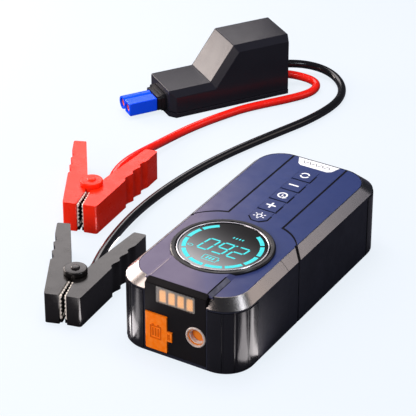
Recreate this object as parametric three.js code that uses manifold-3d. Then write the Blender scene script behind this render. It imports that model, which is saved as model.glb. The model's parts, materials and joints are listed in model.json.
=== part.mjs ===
// Car jump starter pack with a built-in air compressor, and its lead set: a smart module
// with a two-pole plug, a red and a black cable, and a red and a black battery clamp.
//
// Millimetres, +Z up. The origin is the centre of the pack's flat underside. The pack's
// length runs along Y with its front (lamp, flap, air outlet) at -Y. Everything stands on
// the floor plane z = 0.

import * as THREE from 'three';
import * as BufferGeometryUtils from 'three/addons/utils/BufferGeometryUtils.js';
import Module from 'manifold-3d';

const wasm = await Module();
wasm.setup();

// ---------------------------------------------------------------- driving dimensions

const GAP = 0.3;                       // running and assembly clearance between pieces
const BIG = 200;                       // reach of cutting tools, larger than the pack
const ABOVE = 60;                      // a height clear of the pack's top

const PACK = {
  halfWidth: 43,
  halfLength: 93,
  height: 50,
  cornerRadius: 19,
  wall: 2.6,
  floor: 2.4,
  seamY: -18.5,                        // joint between front and rear housing
};

const RIM = {
  bottom: 44.5,                        // foot of the bevelled band round the top
  inset: 5.5,                          // how far the bevel leans in
  topRadius: 18,
};

const COVER = {
  bottom: 47.6,
  halfWidth: 36.9,
  halfLength: 86.9,
  cornerRadius: 17.4,
  stripHalf: 19.5,                     // centre of the grooves beside the key strip
  grooveHalf: 0.6,
};

const NOSE = {
  halfTop: 20,
  halfFoot: 23.4,
  halfTip: 21.1,
  top: 52,
  shoulderZ: 51.3,
  bevelStartY: -89,
  tipY: -92.7,
  footY: -90.2,
  lipZ: 49.6,
};

const DISPLAY = {
  y: -37.5,
  bezelRadius: 32.3,
  bezelInner: 29,
  skirtRadius: 30.6,
  rimRadius: 28.7,
  glassRadius: 27.3,
  moduleRadius: 26.4,
};

const KEYS = {
  names: ['light_button', 'plus_button', 'power_button', 'minus_button', 'mode_button'],
  firstY: 8,
  pitch: 14.75,
  halfWidth: 6.3,
  halfLength: 6.6,
  bottom: 47.1,
  top: 50.15,
  cornerCut: 4,
};

const PANEL = {
  halfWidth: 21.2,
  frontY: -93,
  backY: -90.6,
  bottom: 2.7,
  top: 49.3,
  slack: 0.25,
};

const LAMP = { halfWidth: 13.5, bottom: 37.6, top: 48.6, chips: 4, pitch: 6.4 };

const FLAP = {
  left: -21.05,
  right: -5.5,
  bottom: 3.8,
  top: 29.2,
  tabRight: -2,
  tabBottom: 12.5,
  tabTop: 19,
  outerY: -94,
  thickness: 2.2,
};

const SOCKET = { x: -13.2, z: 16.5, halfWidth: 10, halfHeight: 5.6, depth: 15 };
const SOCKET_CAVITY = { halfWidth: 8.6, halfHeight: 4.2, pinRadius: 2, pinOffset: 4.4 };

const OUTLET = {
  x: 14.2,
  z: 21.5,
  flangeRadius: 6.9,
  bodyRadius: 5.4,
  boreRadius: 4.2,
  frontY: -93.6,
  backY: -79.5,
  nippleY: -81.2,
};

const USB = { x: -12, z: 22, halfWidth: 7.2, halfHeight: 3.6, frontY: 80, mouthY: 93, wall: 0.8 };

const NIPPLE = { radius: 1.6, reach: 4 };

const TRIM = {
  frontX: 22.5,
  sideY: -69,
  rearSideY: 72,
  bottom: 1.2,
  top: 43,
  proud: 0.4,
  depth: 1,
  fluteWidth: 0.9,
  fluteDepth: 0.5,
};

const SCREW = {
  x: 34,
  y: 80,
  headRadius: 2.7,
  shankRadius: 1.3,
  length: 11.5,
  bossRadius: 4.2,
  bossTop: 14,
};

const CELL = { halfWidth: 30, y0: -8, y1: 74, z0: 3.2, thickness: 9.6, pitch: 10.1 };

const GEAR = {
  module: 1,
  pinionTeeth: 10,
  wheelTeeth: 34,
  pinionX: -26.2,
  wheelX: -4,
  z: 21.5,
  frontY: -62.4,
  backY: -58.6,
  crankRadius: 6,
};

const CYLINDER = { y: -66, mouthX: 16, headX: 38.4, bore: 8, outer: 9.4, slack: 0.25, nippleX: 34 };

const FRAME_PLATE = { x0: -38.5, x1: 38.4, y0: -57.8, y1: -54.8, z0: 8, z1: 36 };

const MOTOR = { radius: 12.6, frontY: -54.4, backY: -18, shaft: 2, bearing: 2.4, shaftHole: 3.2 };

const CRANK = { axle: 2.6, bore: 2.9, pin: 1.8, pinTipY: -63.8 };

const ROD = { frontY: -67.6, backY: -64.6, eye: 3.6, eyeHole: 2.2, half: 1.8, cupX0: 30, cupX1: 36 };

const HOSE = {
  radius: 1.9,
  steps: 22,
  path: [
    [34, -66, 35.4], [34, -66.3, 37.6], [32.4, -70, 40.6], [28, -75.3, 41.4],
    [21.5, -79.4, 40.8], [16.2, -81.2, 38.2], [14.2, -81.2, 34.4], [14.2, -81.2, 31.4],
  ],
};

const BOARD = { halfX: 15, y0: -2, y1: 78, z0: 44.4, z1: 46 };

const MODULE = {
  plugEndX: -182.6,
  plugEndY: 179.4,
  heading: 56.6,                       // degrees from +X to the cable end
  length: 96.5,
  halfWidth: 20.8,
  lowDeck: 20.4,
  highDeck: 46.6,
  rampStart: 33.2,
  rampEnd: 52.2,
  bevelWidth: 5,
  bevelDrop: 3.9,
  splitZ: 3.6,
  wall: 2.2,
};

const PLUG = { z: 8, length: 22, start: 6.3, barrel: 5, offset: 4.5, contact: 3.2 };

const CABLE = {
  radius: 3,
  clearance: 3.5,
  steps: 64,
  redExit: [-7, 9.5],                  // across and up, on the module's cable end
  blackExit: [6, 11.5],
  redPath: [
    [-113, 266, 6], [-99, 268, 3.8], [-95.3, 254, 3.2], [-103.2, 237.4, 3.2],
    [-127, 201, 3.2], [-144.5, 154, 3.6], [-147.5, 120, 6], [-146.9, 97, 11],
    [-144.4, 72, 15.5],
  ],
  blackPath: [
    [-117, 283, 8], [-102, 287, 5.5], [-84, 277, 3.6], [-72.5, 254, 3.2],
    [-75.5, 218, 3.2], [-89, 177, 3.2], [-105, 127, 3.2], [-112.5, 70, 3.4],
    [-109.5, 20, 6], [-99, -14, 11], [-93, -36, 15.5],
  ],
};

const CLAMP = {
  lean: 16.4,                          // degrees the clamp's middle line leans from +Y
  halfOpen: 12.7,                      // degrees from the middle line to each arm
  height: 21.2,
  outer: 17.4,                         // pivot to the outer edge of an arm
  tip: -25.5,
  tail: 60.4,
  tipWidth: 9.1,
  waistWidth: 13.6,
  tailWidth: 8.8,
  jawRoot: -8,
  waist: 11,
  earRadius: 7,
  pinRadius: 2.5,
  capRadius: 7.4,
  capTop: 24.8,
  bossRadius: 3,
  bossTop: 25.8,
};

const GRIP = { start: 15, wave: 10.5, humps: 3, depth: 1.6 };

// The fixed arm carries the outer pair of pivot ears, the moving arm the inner pair.
const OUTER_EARS = [[0, 4], [16, CLAMP.height]];
const INNER_EARS = [[4.3, 7], [13, 15.7]];
const CLEAR_EAR = CLAMP.earRadius + 0.4;

const JAW = {
  back: 0.6,
  reach: 1.5,
  teeth: 6,
  frontTeeth: 4,
  bottom: 2,
  top: 19.2,
  rim: 1,
  standOff: 0.25,
};

const SPRING = { coil: 4.2, wire: 0.5, turns: 2, perTurn: 8, bottom: 7.9, rise: 4.2 };

// Where a cable runs beside its clamp's fixed arm and enters it, in the clamp's own axes.
const CABLE_ENTRY = [[4.2, 17.5, 16.5], [7.6, 15, 13.5], [11, 12.5, 10.5]];

const RED_PIVOT = [-141, 28];
const BLACK_PIVOT = [-87.8, -69.5];

// ---------------------------------------------------------------- materials

function material(color, roughness, metalness) {
  return new THREE.MeshStandardMaterial({ color, roughness, metalness });
}

const MATERIAL = {
  navy: material(0x434b7a, 0.45, 0.3),
  shell: material(0x22232c, 0.5, 0.1),
  gloss: material(0x1c1b1e, 0.2, 0.2),
  silver: material(0x8b8588, 0.3, 0.9),
  chrome: material(0xd8d8dc, 0.1, 1),
  glass: material(0x3a393c, 0.08, 0.1),
  orange: material(0xe8760f, 0.55, 0),
  amber: material(0xffc070, 0.4, 0),
  lens: material(0xb8b2ae, 0.15, 0),
  brass: material(0xc98a3c, 0.3, 1),
  steel: material(0x9a9ca0, 0.3, 1),
  board: material(0x1d5a36, 0.6, 0.1),
  cell: material(0x8e9aa6, 0.5, 0.4),
  red: material(0xe82818, 0.35, 0),
  black: material(0x141416, 0.4, 0),
  copper: material(0xc8785a, 0.35, 0.9),
  blue: material(0x1238e0, 0.4, 0),
  contact: material(0xd8501c, 0.4, 0.5),
};

// ---------------------------------------------------------------- solid helpers

function solid(geometry) {
  const bare = geometry.clone();
  bare.deleteAttribute('normal');
  bare.deleteAttribute('uv');
  const merged = BufferGeometryUtils.mergeVertices(bare);
  return new wasm.Manifold(new wasm.Mesh({
    numProp: 3,
    vertProperties: new Float32Array(merged.attributes.position.array),
    triVerts: new Uint32Array(merged.index.array),
  }));
}

function geometryOf(body) {
  const mesh = body.getMesh();
  const geometry = new THREE.BufferGeometry();
  geometry.setAttribute('position', new THREE.BufferAttribute(mesh.vertProperties, 3));
  geometry.setIndex(new THREE.BufferAttribute(mesh.triVerts, 1));
  geometry.computeVertexNormals();
  return geometry;
}

function join(first, ...others) {
  return others.reduce((sum, other) => sum.add(other), first);
}

function cut(first, ...others) {
  return others.reduce((rest, other) => rest.subtract(other), first);
}

function box(x0, x1, y0, y1, z0, z1) {
  const geometry = new THREE.BoxGeometry(x1 - x0, y1 - y0, z1 - z0);
  geometry.translate((x0 + x1) / 2, (y0 + y1) / 2, (z0 + z1) / 2);
  return solid(geometry);
}

// A round bar from one point to another.
function rod(radius, from, to, segments = 20) {
  const start = new THREE.Vector3(...from);
  const way = new THREE.Vector3(...to).sub(start);
  const geometry = new THREE.CylinderGeometry(radius, radius, way.length(), segments);
  geometry.translate(0, way.length() / 2, 0);
  const turn = new THREE.Quaternion();
  turn.setFromUnitVectors(new THREE.Vector3(0, 1, 0), way.clone().normalize());
  geometry.applyQuaternion(turn);
  geometry.translate(start.x, start.y, start.z);
  return solid(geometry);
}

// A round bar along Y.
function rodY(radius, x, z, y0, y1, segments) {
  return rod(radius, [x, y0, z], [x, y1, z], segments);
}

// A round bar along X.
function rodX(radius, y, z, x0, x1, segments) {
  return rod(radius, [x0, y, z], [x1, y, z], segments);
}

// An outline in X and Y, raised from z0 to z1.
function prism(shape, z0, z1, curveSegments = 6) {
  const options = { depth: z1 - z0, bevelEnabled: false, curveSegments };
  const geometry = new THREE.ExtrudeGeometry(shape, options);
  geometry.translate(0, 0, z0);
  return solid(geometry);
}

function polygon(points) {
  return new THREE.Shape(points.map(([x, y]) => new THREE.Vector2(x, y)));
}

// An outline in X and Z, swept from y0 to y1.
function prismAlongY(points, y0, y1) {
  const options = { depth: y1 - y0, bevelEnabled: false };
  const geometry = new THREE.ExtrudeGeometry(polygon(points), options);
  geometry.rotateX(Math.PI / 2);
  geometry.translate(0, y1, 0);
  return solid(geometry);
}

// An outline in Y and Z, swept from x0 to x1.
function prismAlongX(points, x0, x1) {
  const options = { depth: x1 - x0, bevelEnabled: false };
  const geometry = new THREE.ExtrudeGeometry(polygon(points), options);
  geometry.rotateX(Math.PI / 2);
  geometry.rotateZ(Math.PI / 2);
  geometry.translate(x0, 0, 0);
  return solid(geometry);
}

// A closed skin over matching rings of points; flatten gives a ring's own plane.
function skin(rings, flatten) {
  const count = rings[0].length;
  const positions = rings.flat().flatMap((point) => [point.x, point.y, point.z]);
  const indices = [];
  for (let layer = 0; layer < rings.length - 1; layer += 1) {
    for (let i = 0; i < count; i += 1) {
      const next = (i + 1) % count;
      const low = layer * count;
      const high = low + count;
      indices.push(low + i, low + next, high + next);
      indices.push(low + i, high + next, high + i);
    }
  }
  const caps = THREE.ShapeUtils.triangulateShape(rings[0].map(flatten), []);
  const last = (rings.length - 1) * count;
  for (const [a, b, c] of caps) {
    indices.push(c, b, a);
    indices.push(last + a, last + b, last + c);
  }
  const geometry = new THREE.BufferGeometry();
  geometry.setAttribute('position', new THREE.Float32BufferAttribute(positions, 3));
  geometry.setIndex(indices);
  return solid(geometry);
}

function roundedRing(halfX, halfY, radius, z, segments = 7) {
  const points = [];
  for (let quarter = 0; quarter < 4; quarter += 1) {
    const signX = quarter === 0 || quarter === 3 ? 1 : -1;
    const signY = quarter < 2 ? 1 : -1;
    for (let step = 0; step <= segments; step += 1) {
      const angle = (quarter + step / segments) * Math.PI / 2;
      const x = signX * (halfX - radius) + radius * Math.cos(angle);
      const y = signY * (halfY - radius) + radius * Math.sin(angle);
      points.push(new THREE.Vector3(x, y, z));
    }
  }
  return points;
}

function roundedLoft(levels) {
  const rings = levels.map(([halfX, halfY, radius, z]) => roundedRing(halfX, halfY, radius, z));
  return skin(rings, (point) => new THREE.Vector2(point.x, point.y));
}

// The pack's rounded outline, moved outwards by grow, between two heights.
function packBlock(grow, z0, z1) {
  const { halfWidth, halfLength, cornerRadius } = PACK;
  const level = [halfWidth + grow, halfLength + grow, cornerRadius + grow];
  return roundedLoft([[...level, z0], [...level, z1]]);
}

function disc(radius, x, y, z0, z1, segments = 36) {
  return rod(radius, [x, y, z0], [x, y, z1], segments);
}

function turned(profile, segments = 24) {
  const points = profile.map(([radius, height]) => new THREE.Vector2(radius, height));
  const geometry = new THREE.LatheGeometry(points, segments);
  geometry.rotateX(Math.PI / 2);
  return solid(geometry);
}

function tube(points, radius, steps, sides) {
  const curve = new THREE.CatmullRomCurve3(points);
  const circle = new THREE.Shape();
  circle.absarc(0, 0, radius, 0, Math.PI * 2, false);
  const options = { steps, curveSegments: sides, extrudePath: curve };
  return new THREE.ExtrudeGeometry(circle, options);
}

const object = new THREE.Group();

function piece(name, shape, look, parent = object) {
  const geometry = shape instanceof THREE.BufferGeometry ? shape : geometryOf(shape);
  const mesh = new THREE.Mesh(geometry, look);
  mesh.name = name;
  parent.add(mesh);
  return mesh;
}

// ---------------------------------------------------------------- pack: casing

function housingShell() {
  const { halfWidth, halfLength, cornerRadius, wall, floor } = PACK;
  const top = RIM.bottom - GAP;
  const outside = roundedLoft([
    [halfWidth - 1, halfLength - 1, cornerRadius - 1, 0],
    [halfWidth, halfLength, cornerRadius, 1],
    [halfWidth, halfLength, cornerRadius, top],
  ]);
  return cut(outside, packBlock(-wall, floor, BIG));
}

function screwBosses() {
  const bosses = [];
  for (const x of [-SCREW.x, SCREW.x]) {
    for (const y of [-SCREW.y, SCREW.y]) {
      bosses.push(disc(SCREW.bossRadius, x, y, 1, SCREW.bossTop, 16));
    }
  }
  return bosses;
}

function screwHoles() {
  const holes = [];
  for (const x of [-SCREW.x, SCREW.x]) {
    for (const y of [-SCREW.y, SCREW.y]) {
      holes.push(disc(SCREW.headRadius + GAP, x, y, -1, 2.5, 16));
      holes.push(disc(SCREW.shankRadius + GAP, x, y, -1, SCREW.length + 1, 12));
    }
  }
  return holes;
}

// The recess that a corner trim or the rear cap sits in.
function trimRecess(region) {
  const tall = packBlock(5, TRIM.bottom - GAP, TRIM.top + GAP);
  return cut(tall, packBlock(-TRIM.depth - GAP, -1, ABOVE)).intersect(region);
}

const FRONT_TRIM_REGION = join(
  box(TRIM.frontX - GAP, BIG, -BIG, TRIM.sideY + GAP, -1, ABOVE),
  box(-BIG, -TRIM.frontX + GAP, -BIG, TRIM.sideY + GAP, -1, ABOVE),
);
const REAR_CAP_REGION = box(-BIG, BIG, TRIM.rearSideY - GAP, BIG, -1, ABOVE);

function usbOpening() {
  const x = USB.halfWidth + GAP;
  const z = USB.halfHeight + GAP;
  return box(USB.x - x, USB.x + x, USB.frontY, BIG, USB.z - z, USB.z + z);
}

function frontPanelOpening() {
  const half = PANEL.halfWidth + PANEL.slack;
  const y = -PACK.halfLength + PACK.wall + 1;
  return box(-half, half, -BIG, y, PANEL.bottom - PANEL.slack, ABOVE);
}

const housing = cut(
  join(housingShell(), ...screwBosses()),
  ...screwHoles(),
  trimRecess(FRONT_TRIM_REGION),
  trimRecess(REAR_CAP_REGION),
  usbOpening(),
  frontPanelOpening(),
);

function inFrontOf(y) {
  return box(-BIG, BIG, -BIG, y, -BIG, BIG);
}

piece('front_housing', housing.intersect(inFrontOf(PACK.seamY - 0.15)), MATERIAL.shell);
piece('rear_housing', cut(housing, inFrontOf(PACK.seamY + 0.15)), MATERIAL.shell);

function rimBand() {
  const { halfWidth, halfLength, cornerRadius, wall, height, seamY } = PACK;
  const { bottom, inset, topRadius } = RIM;
  const outside = (grow) => roundedLoft([
    [halfWidth + grow, halfLength + grow, cornerRadius + grow, bottom],
    [halfWidth - inset + grow, halfLength - inset + grow, topRadius + grow, height],
  ]);
  const inside = roundedLoft([
    [halfWidth - wall, halfLength - wall, cornerRadius - wall, bottom - 1],
    [halfWidth - wall, halfLength - wall, cornerRadius - wall, bottom + 0.4],
    [COVER.halfWidth + GAP, COVER.halfLength + GAP, COVER.cornerRadius + GAP, 48.6],
    [COVER.halfWidth + GAP, COVER.halfLength + GAP, COVER.cornerRadius + GAP, height + 1],
  ]);
  const seam = cut(box(-BIG, BIG, seamY - 0.3, seamY + 0.3, 0, ABOVE), outside(-0.6));
  const noseGap = box(-NOSE.halfTip - GAP, NOSE.halfTip + GAP, -BIG, -80, 0, ABOVE);
  return cut(outside(0), inside, seam, noseGap);
}

piece('rim_band', rimBand(), MATERIAL.silver);

function trimWall() {
  const outside = packBlock(TRIM.proud, TRIM.bottom, TRIM.top);
  return cut(outside, packBlock(-TRIM.depth, -1, ABOVE));
}

// Upright flutes across the rounded corner of a trim.
function flutes(side) {
  const { halfWidth, halfLength, cornerRadius } = PACK;
  const reach = cornerRadius + TRIM.proud - TRIM.fluteDepth;
  return [18, 42, 66].map((degrees) => {
    const geometry = new THREE.BoxGeometry(6, TRIM.fluteWidth, 60);
    geometry.translate(reach + 3, 0, TRIM.top / 2);
    geometry.rotateZ(-degrees * Math.PI / 180);
    geometry.translate(halfWidth - cornerRadius, -halfLength + cornerRadius, 0);
    const flute = solid(geometry);
    return side > 0 ? flute : flute.mirror([1, 0, 0]);
  });
}

function cornerTrim(side) {
  const x = side > 0 ? [TRIM.frontX, BIG] : [-BIG, -TRIM.frontX];
  const region = box(x[0], x[1], -BIG, TRIM.sideY, -1, ABOVE);
  return cut(trimWall().intersect(region), ...flutes(side));
}

piece('corner_trim_right', cornerTrim(1), MATERIAL.gloss);
piece('corner_trim_left', cornerTrim(-1), MATERIAL.gloss);

const rearRegion = box(-BIG, BIG, TRIM.rearSideY, BIG, -1, ABOVE);
piece('rear_end_cap', cut(trimWall().intersect(rearRegion), usbOpening()), MATERIAL.gloss);

// ---------------------------------------------------------------- pack: top covers

function coverPlate() {
  const { halfWidth, halfLength, cornerRadius, bottom } = COVER;
  return roundedLoft([
    [halfWidth, halfLength, cornerRadius, bottom],
    [halfWidth, halfLength, cornerRadius, PACK.height],
  ]);
}

// Outline of the right wing; grow widens it for cutting its seat.
function wingOutline(grow) {
  const inner = COVER.stripHalf - grow;
  const shape = new THREE.Shape();
  shape.moveTo(inner, BIG);
  shape.lineTo(inner, 2.2 - grow);
  shape.quadraticCurveTo(31, -1 - grow, 38.5, -13.5 - grow);
  shape.lineTo(60, -13.5 - grow);
  shape.lineTo(60, BIG);
  return shape;
}

function wingBlock(grow) {
  return prism(wingOutline(grow), 40, ABOVE);
}

function noseBlock() {
  const { halfTop, halfFoot, halfTip, top, shoulderZ, bevelStartY, tipY, footY, lipZ } = NOSE;
  const deck = PACK.height - 0.4;
  const platform = prismAlongY(
    [[-halfFoot - 0.5, deck], [halfFoot + 0.5, deck], [halfTop, top], [-halfTop, top]],
    -COVER.halfLength + 0.2,
    DISPLAY.y - 20,
  );
  const tipSide = prismAlongX([
    [-86, COVER.bottom], [-86, top], [bevelStartY, top],
    [tipY, lipZ], [footY, lipZ], [footY, COVER.bottom],
  ], -halfTip, halfTip);
  const tipFront = prismAlongY([
    [-halfTip, 40], [halfTip, 40], [halfTip, shoulderZ],
    [halfTop, top], [-halfTop, top], [-halfTip, shoulderZ],
  ], tipY - 1, -85);
  const nose = join(platform, tipSide.intersect(tipFront));
  return cut(nose, displayHole(DISPLAY.bezelRadius + GAP, PACK.height));
}

function displayHole(radius, z0) {
  return disc(radius, 0, DISPLAY.y, z0, ABOVE);
}

function keyOutline(index, grow) {
  const y = KEYS.firstY + index * KEYS.pitch;
  const left = -KEYS.halfWidth - grow;
  const right = KEYS.halfWidth + grow;
  const front = y - KEYS.halfLength - grow;
  const back = y + KEYS.halfLength + grow;
  if (index > 0) {
    return polygon([[left, front], [right, front], [right, back], [left, back]]);
  }
  const corner = KEYS.cornerCut;
  return polygon([
    [left, front + corner], [left + corner, front], [right - corner, front],
    [right, front + corner], [right, back], [left, back],
  ]);
}

function controlPanel() {
  const wing = wingBlock(COVER.grooveHalf);
  const keyPockets = KEYS.names.map((name, index) => prism(keyOutline(index, GAP), 40, ABOVE));
  return cut(
    join(coverPlate(), noseBlock()),
    wing,
    wing.mirror([1, 0, 0]),
    displayHole(DISPLAY.skirtRadius + GAP, 40),
    ...keyPockets,
  );
}

piece('control_panel', controlPanel(), MATERIAL.navy);

const wing = coverPlate().intersect(wingBlock(-COVER.grooveHalf));
piece('right_wing', wing, MATERIAL.navy);
piece('left_wing', wing.mirror([1, 0, 0]), MATERIAL.navy);

KEYS.names.forEach((name, index) => {
  piece(name, prism(keyOutline(index, 0), KEYS.bottom, KEYS.top), MATERIAL.navy);
});

// ---------------------------------------------------------------- pack: display

function ring(profile, segments) {
  const body = turned(profile, segments);
  return body.translate([0, DISPLAY.y, 0]);
}

piece('display_bezel', ring([
  [DISPLAY.bezelInner, 46.4], [DISPLAY.skirtRadius, 46.4], [DISPLAY.skirtRadius, 50.1],
  [DISPLAY.bezelRadius, 50.1], [DISPLAY.bezelRadius, 51.5], [DISPLAY.bezelRadius - 0.6, 52],
  [DISPLAY.bezelInner, 52], [DISPLAY.bezelInner, 46.4],
], 36), MATERIAL.gloss);

piece('display_rim', ring([
  [DISPLAY.glassRadius + 0.2, 50], [DISPLAY.rimRadius, 50], [DISPLAY.rimRadius, 51.8],
  [DISPLAY.rimRadius - 0.4, 52.3], [DISPLAY.glassRadius + 0.5, 52.3],
  [DISPLAY.glassRadius + 0.2, 51.9], [DISPLAY.glassRadius + 0.2, 50],
], 36), MATERIAL.chrome);

piece('display_lens', disc(DISPLAY.glassRadius, 0, DISPLAY.y, 50.1, 51.4), MATERIAL.glass);
piece('display_board', disc(DISPLAY.moduleRadius, 0, DISPLAY.y, 47.2, 49.7, 32), MATERIAL.board);

// ---------------------------------------------------------------- pack: front panel

function frontPanel() {
  const { halfWidth, frontY, backY, bottom, top } = PANEL;
  const plate = box(-halfWidth, halfWidth, frontY, backY, bottom, top);
  const pocketY = FLAP.outerY + FLAP.thickness + GAP;
  const flapPocket = box(-30, FLAP.right + GAP, -BIG, pocketY, FLAP.bottom - GAP, FLAP.top + GAP);
  const tabPocket = box(
    -10, FLAP.tabRight + GAP, -BIG, pocketY, FLAP.tabBottom - GAP, FLAP.tabTop + GAP,
  );
  const socketWindow = box(
    SOCKET.x - 7, SOCKET.x + 7, -BIG, -80, SOCKET.z - SOCKET.halfWidth, SOCKET.z + SOCKET.halfWidth,
  );
  const lampWindow = box(
    -LAMP.halfWidth - 0.2, LAMP.halfWidth + 0.2, -BIG, -80, LAMP.bottom - 0.2, LAMP.top + 0.2,
  );
  const outletHole = rodY(OUTLET.flangeRadius + 0.2, OUTLET.x, OUTLET.z, -BIG, -80, 32);
  return cut(plate, flapPocket, tabPocket, socketWindow, lampWindow, outletHole);
}

piece('front_panel', frontPanel(), MATERIAL.gloss);

piece(
  'lamp_lens',
  box(-LAMP.halfWidth, LAMP.halfWidth, PANEL.frontY - 0.1, PANEL.frontY + 1.6, LAMP.bottom, LAMP.top),
  MATERIAL.lens,
);

function lampBoard() {
  const board = box(-14, 14, -90.2, -88.8, 37, 47.2);
  const chips = Array.from({ length: LAMP.chips }, (_, index) => {
    const x = (index - (LAMP.chips - 1) / 2) * LAMP.pitch;
    return box(x - 2.2, x + 2.2, -91, -90, 39.4, 46.8);
  });
  return join(board, ...chips);
}

piece('lamp_board', lampBoard(), MATERIAL.amber);

function portFlap() {
  const { left, right, bottom, top, tabRight, tabBottom, tabTop, outerY, thickness } = FLAP;
  const radius = thickness / 2;
  const knuckle = disc(radius, left + radius, outerY + radius, bottom, top, 16);
  const leaf = box(left + radius, right, outerY, outerY + thickness, bottom, top);
  const tab = box(right - 1, tabRight, outerY, outerY + thickness, tabBottom, tabTop);
  return join(knuckle, leaf, tab);
}

piece('port_flap', portFlap(), MATERIAL.orange);

// Sleeve that takes the lead set's plug; the long side stands upright.
function outputSocket() {
  const y0 = PANEL.backY + GAP;
  const y1 = y0 + SOCKET.depth;
  const { x, z, halfWidth, halfHeight } = SOCKET;
  const cavity = SOCKET_CAVITY;
  const body = box(x - halfHeight, x + halfHeight, y0, y1, z - halfWidth, z + halfWidth);
  const hollow = box(
    x - cavity.halfHeight, x + cavity.halfHeight, y0 - 1, y1 - 2,
    z - cavity.halfWidth, z + cavity.halfWidth,
  );
  const pins = [-cavity.pinOffset, cavity.pinOffset].map(
    (offset) => rodY(cavity.pinRadius, x, z + offset, y0 + 6, y1 - 1, 12),
  );
  return join(cut(body, hollow), ...pins);
}

piece('output_socket', outputSocket(), MATERIAL.blue);

function usbSocket() {
  const { x, z, halfWidth, halfHeight, frontY, mouthY, wall } = USB;
  const halfX = halfWidth - wall;
  const halfZ = halfHeight - wall;
  const body = box(x - halfWidth, x + halfWidth, frontY, mouthY, z - halfHeight, z + halfHeight);
  const hollow = box(x - halfX, x + halfX, frontY + 4, mouthY + 2, z - halfZ, z + halfZ);
  const tongue = box(x - halfX + 1.2, x + halfX - 1.2, frontY + 3, mouthY - 1, z + 0.8, z + 2);
  return join(cut(body, hollow), tongue);
}

piece('usb_socket', usbSocket(), MATERIAL.steel);

// ---------------------------------------------------------------- pack: air system

// A short upright spigot for the hose; base is inside the wall it stands on.
function hoseNipple(x, y, base) {
  return disc(NIPPLE.radius, x, y, base - 1.5, base + NIPPLE.reach, 12);
}

function airFitting() {
  const { x, z, flangeRadius, bodyRadius, boreRadius, frontY, backY, nippleY } = OUTLET;
  const flange = rodY(flangeRadius, x, z, frontY, -90.2, 32);
  const body = rodY(bodyRadius, x, z, -91, backY, 24);
  const bore = rodY(boreRadius, x, z, frontY - 1, backY - 2.5, 24);
  return cut(join(flange, body, hoseNipple(x, nippleY, z + bodyRadius)), bore);
}

piece('air_fitting', airFitting(), MATERIAL.brass);

function compressorBody() {
  const { x0, x1, y0, y1, z0, z1 } = FRAME_PLATE;
  const { y, mouthX, headX, bore, outer, nippleX } = CYLINDER;
  const plate = box(x0, x1, y0, y1, z0, z1);
  const barrel = rodX(outer, y, GEAR.z, mouthX, headX, 24);
  const chamber = rodX(bore, y, GEAR.z, mouthX - 1, headX - 1.8, 24);
  const shaftHole = rodY(MOTOR.shaftHole, GEAR.pinionX, GEAR.z, y0 - 2, y1 + 2, 16);
  const axle = rodY(CRANK.axle, GEAR.wheelX, GEAR.z, -62, y0 + 1, 16);
  const nipple = hoseNipple(nippleX, y, GEAR.z + outer);
  return cut(join(plate, barrel, axle, nipple), chamber, shaftHole);
}

piece('compressor_body', compressorBody(), MATERIAL.steel);

function compressorMotor() {
  const { radius, frontY, backY, bearing } = MOTOR;
  const can = rodY(radius, GEAR.pinionX, GEAR.z, frontY, backY, 24);
  return cut(can, rodY(bearing, GEAR.pinionX, GEAR.z, frontY - 1, frontY + 6.4, 16));
}

piece('compressor_motor', compressorMotor(), MATERIAL.steel);

// A spur gear lying in the X-Z plane, centred on the origin.
function spurGear(teeth, y0, y1, bore, turn) {
  const pitchRadius = GEAR.module * teeth / 2;
  const pitchAngle = Math.PI * 2 / teeth;
  const corners = [
    [pitchRadius - 1.25 * GEAR.module, 0.3],
    [pitchRadius, 0.225],
    [pitchRadius + 0.9 * GEAR.module, 0.12],
  ];
  const points = [];
  for (let tooth = 0; tooth < teeth; tooth += 1) {
    const middle = tooth * pitchAngle + turn;
    for (const [radius, share] of corners) {
      const angle = middle - share * pitchAngle;
      points.push([radius * Math.cos(angle), radius * Math.sin(angle)]);
    }
    for (const [radius, share] of [...corners].reverse()) {
      const angle = middle + share * pitchAngle;
      points.push([radius * Math.cos(angle), radius * Math.sin(angle)]);
    }
  }
  const blank = prismAlongY(points, y0, y1);
  return bore > 0 ? cut(blank, rodY(bore, 0, 0, y0 - 1, y1 + 1, 16)) : blank;
}

function drivePinion() {
  const gear = spurGear(GEAR.pinionTeeth, GEAR.frontY, GEAR.backY, 0, 0);
  return join(gear, rodY(MOTOR.shaft, 0, 0, GEAR.backY - 1, MOTOR.frontY + 5.4, 16));
}

function crankGear() {
  const halfTooth = Math.PI / GEAR.wheelTeeth;
  const turn = Math.PI + halfTooth;
  const gear = spurGear(GEAR.wheelTeeth, GEAR.frontY, GEAR.backY, CRANK.bore, turn);
  const pin = rodY(CRANK.pin, GEAR.crankRadius, 0, CRANK.pinTipY, GEAR.frontY + 1, 12);
  return join(gear, pin);
}

const pinionMesh = piece('drive_pinion', drivePinion(), MATERIAL.brass);
pinionMesh.position.set(GEAR.pinionX, 0, GEAR.z);

const crankMesh = piece('crank_gear', crankGear(), MATERIAL.steel);
crankMesh.position.set(GEAR.wheelX, 0, GEAR.z);

// Wobble piston: the connecting rod and the piston cup are one moulding.
function piston() {
  const { frontY, backY, eye, eyeHole, half, cupX0, cupX1 } = ROD;
  const crankX = GEAR.wheelX + GEAR.crankRadius;
  const bigEnd = rodY(eye, crankX, GEAR.z, frontY, backY, 20);
  const hole = rodY(eyeHole, crankX, GEAR.z, frontY - 1, backY + 1, 12);
  const shank = box(crankX, cupX0 + 2, frontY, backY, GEAR.z - half, GEAR.z + half);
  const cup = rodX(CYLINDER.bore - CYLINDER.slack, CYLINDER.y, GEAR.z, cupX0, cupX1, 24);
  return cut(join(bigEnd, shank, cup), hole);
}

piece('piston', piston(), MATERIAL.steel);

const hosePoints = HOSE.path.map((point) => new THREE.Vector3(...point));
const hose = tube(hosePoints, HOSE.radius, HOSE.steps, 4);
piece('air_hose', hose, MATERIAL.black);

// ---------------------------------------------------------------- pack: power parts

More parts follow.
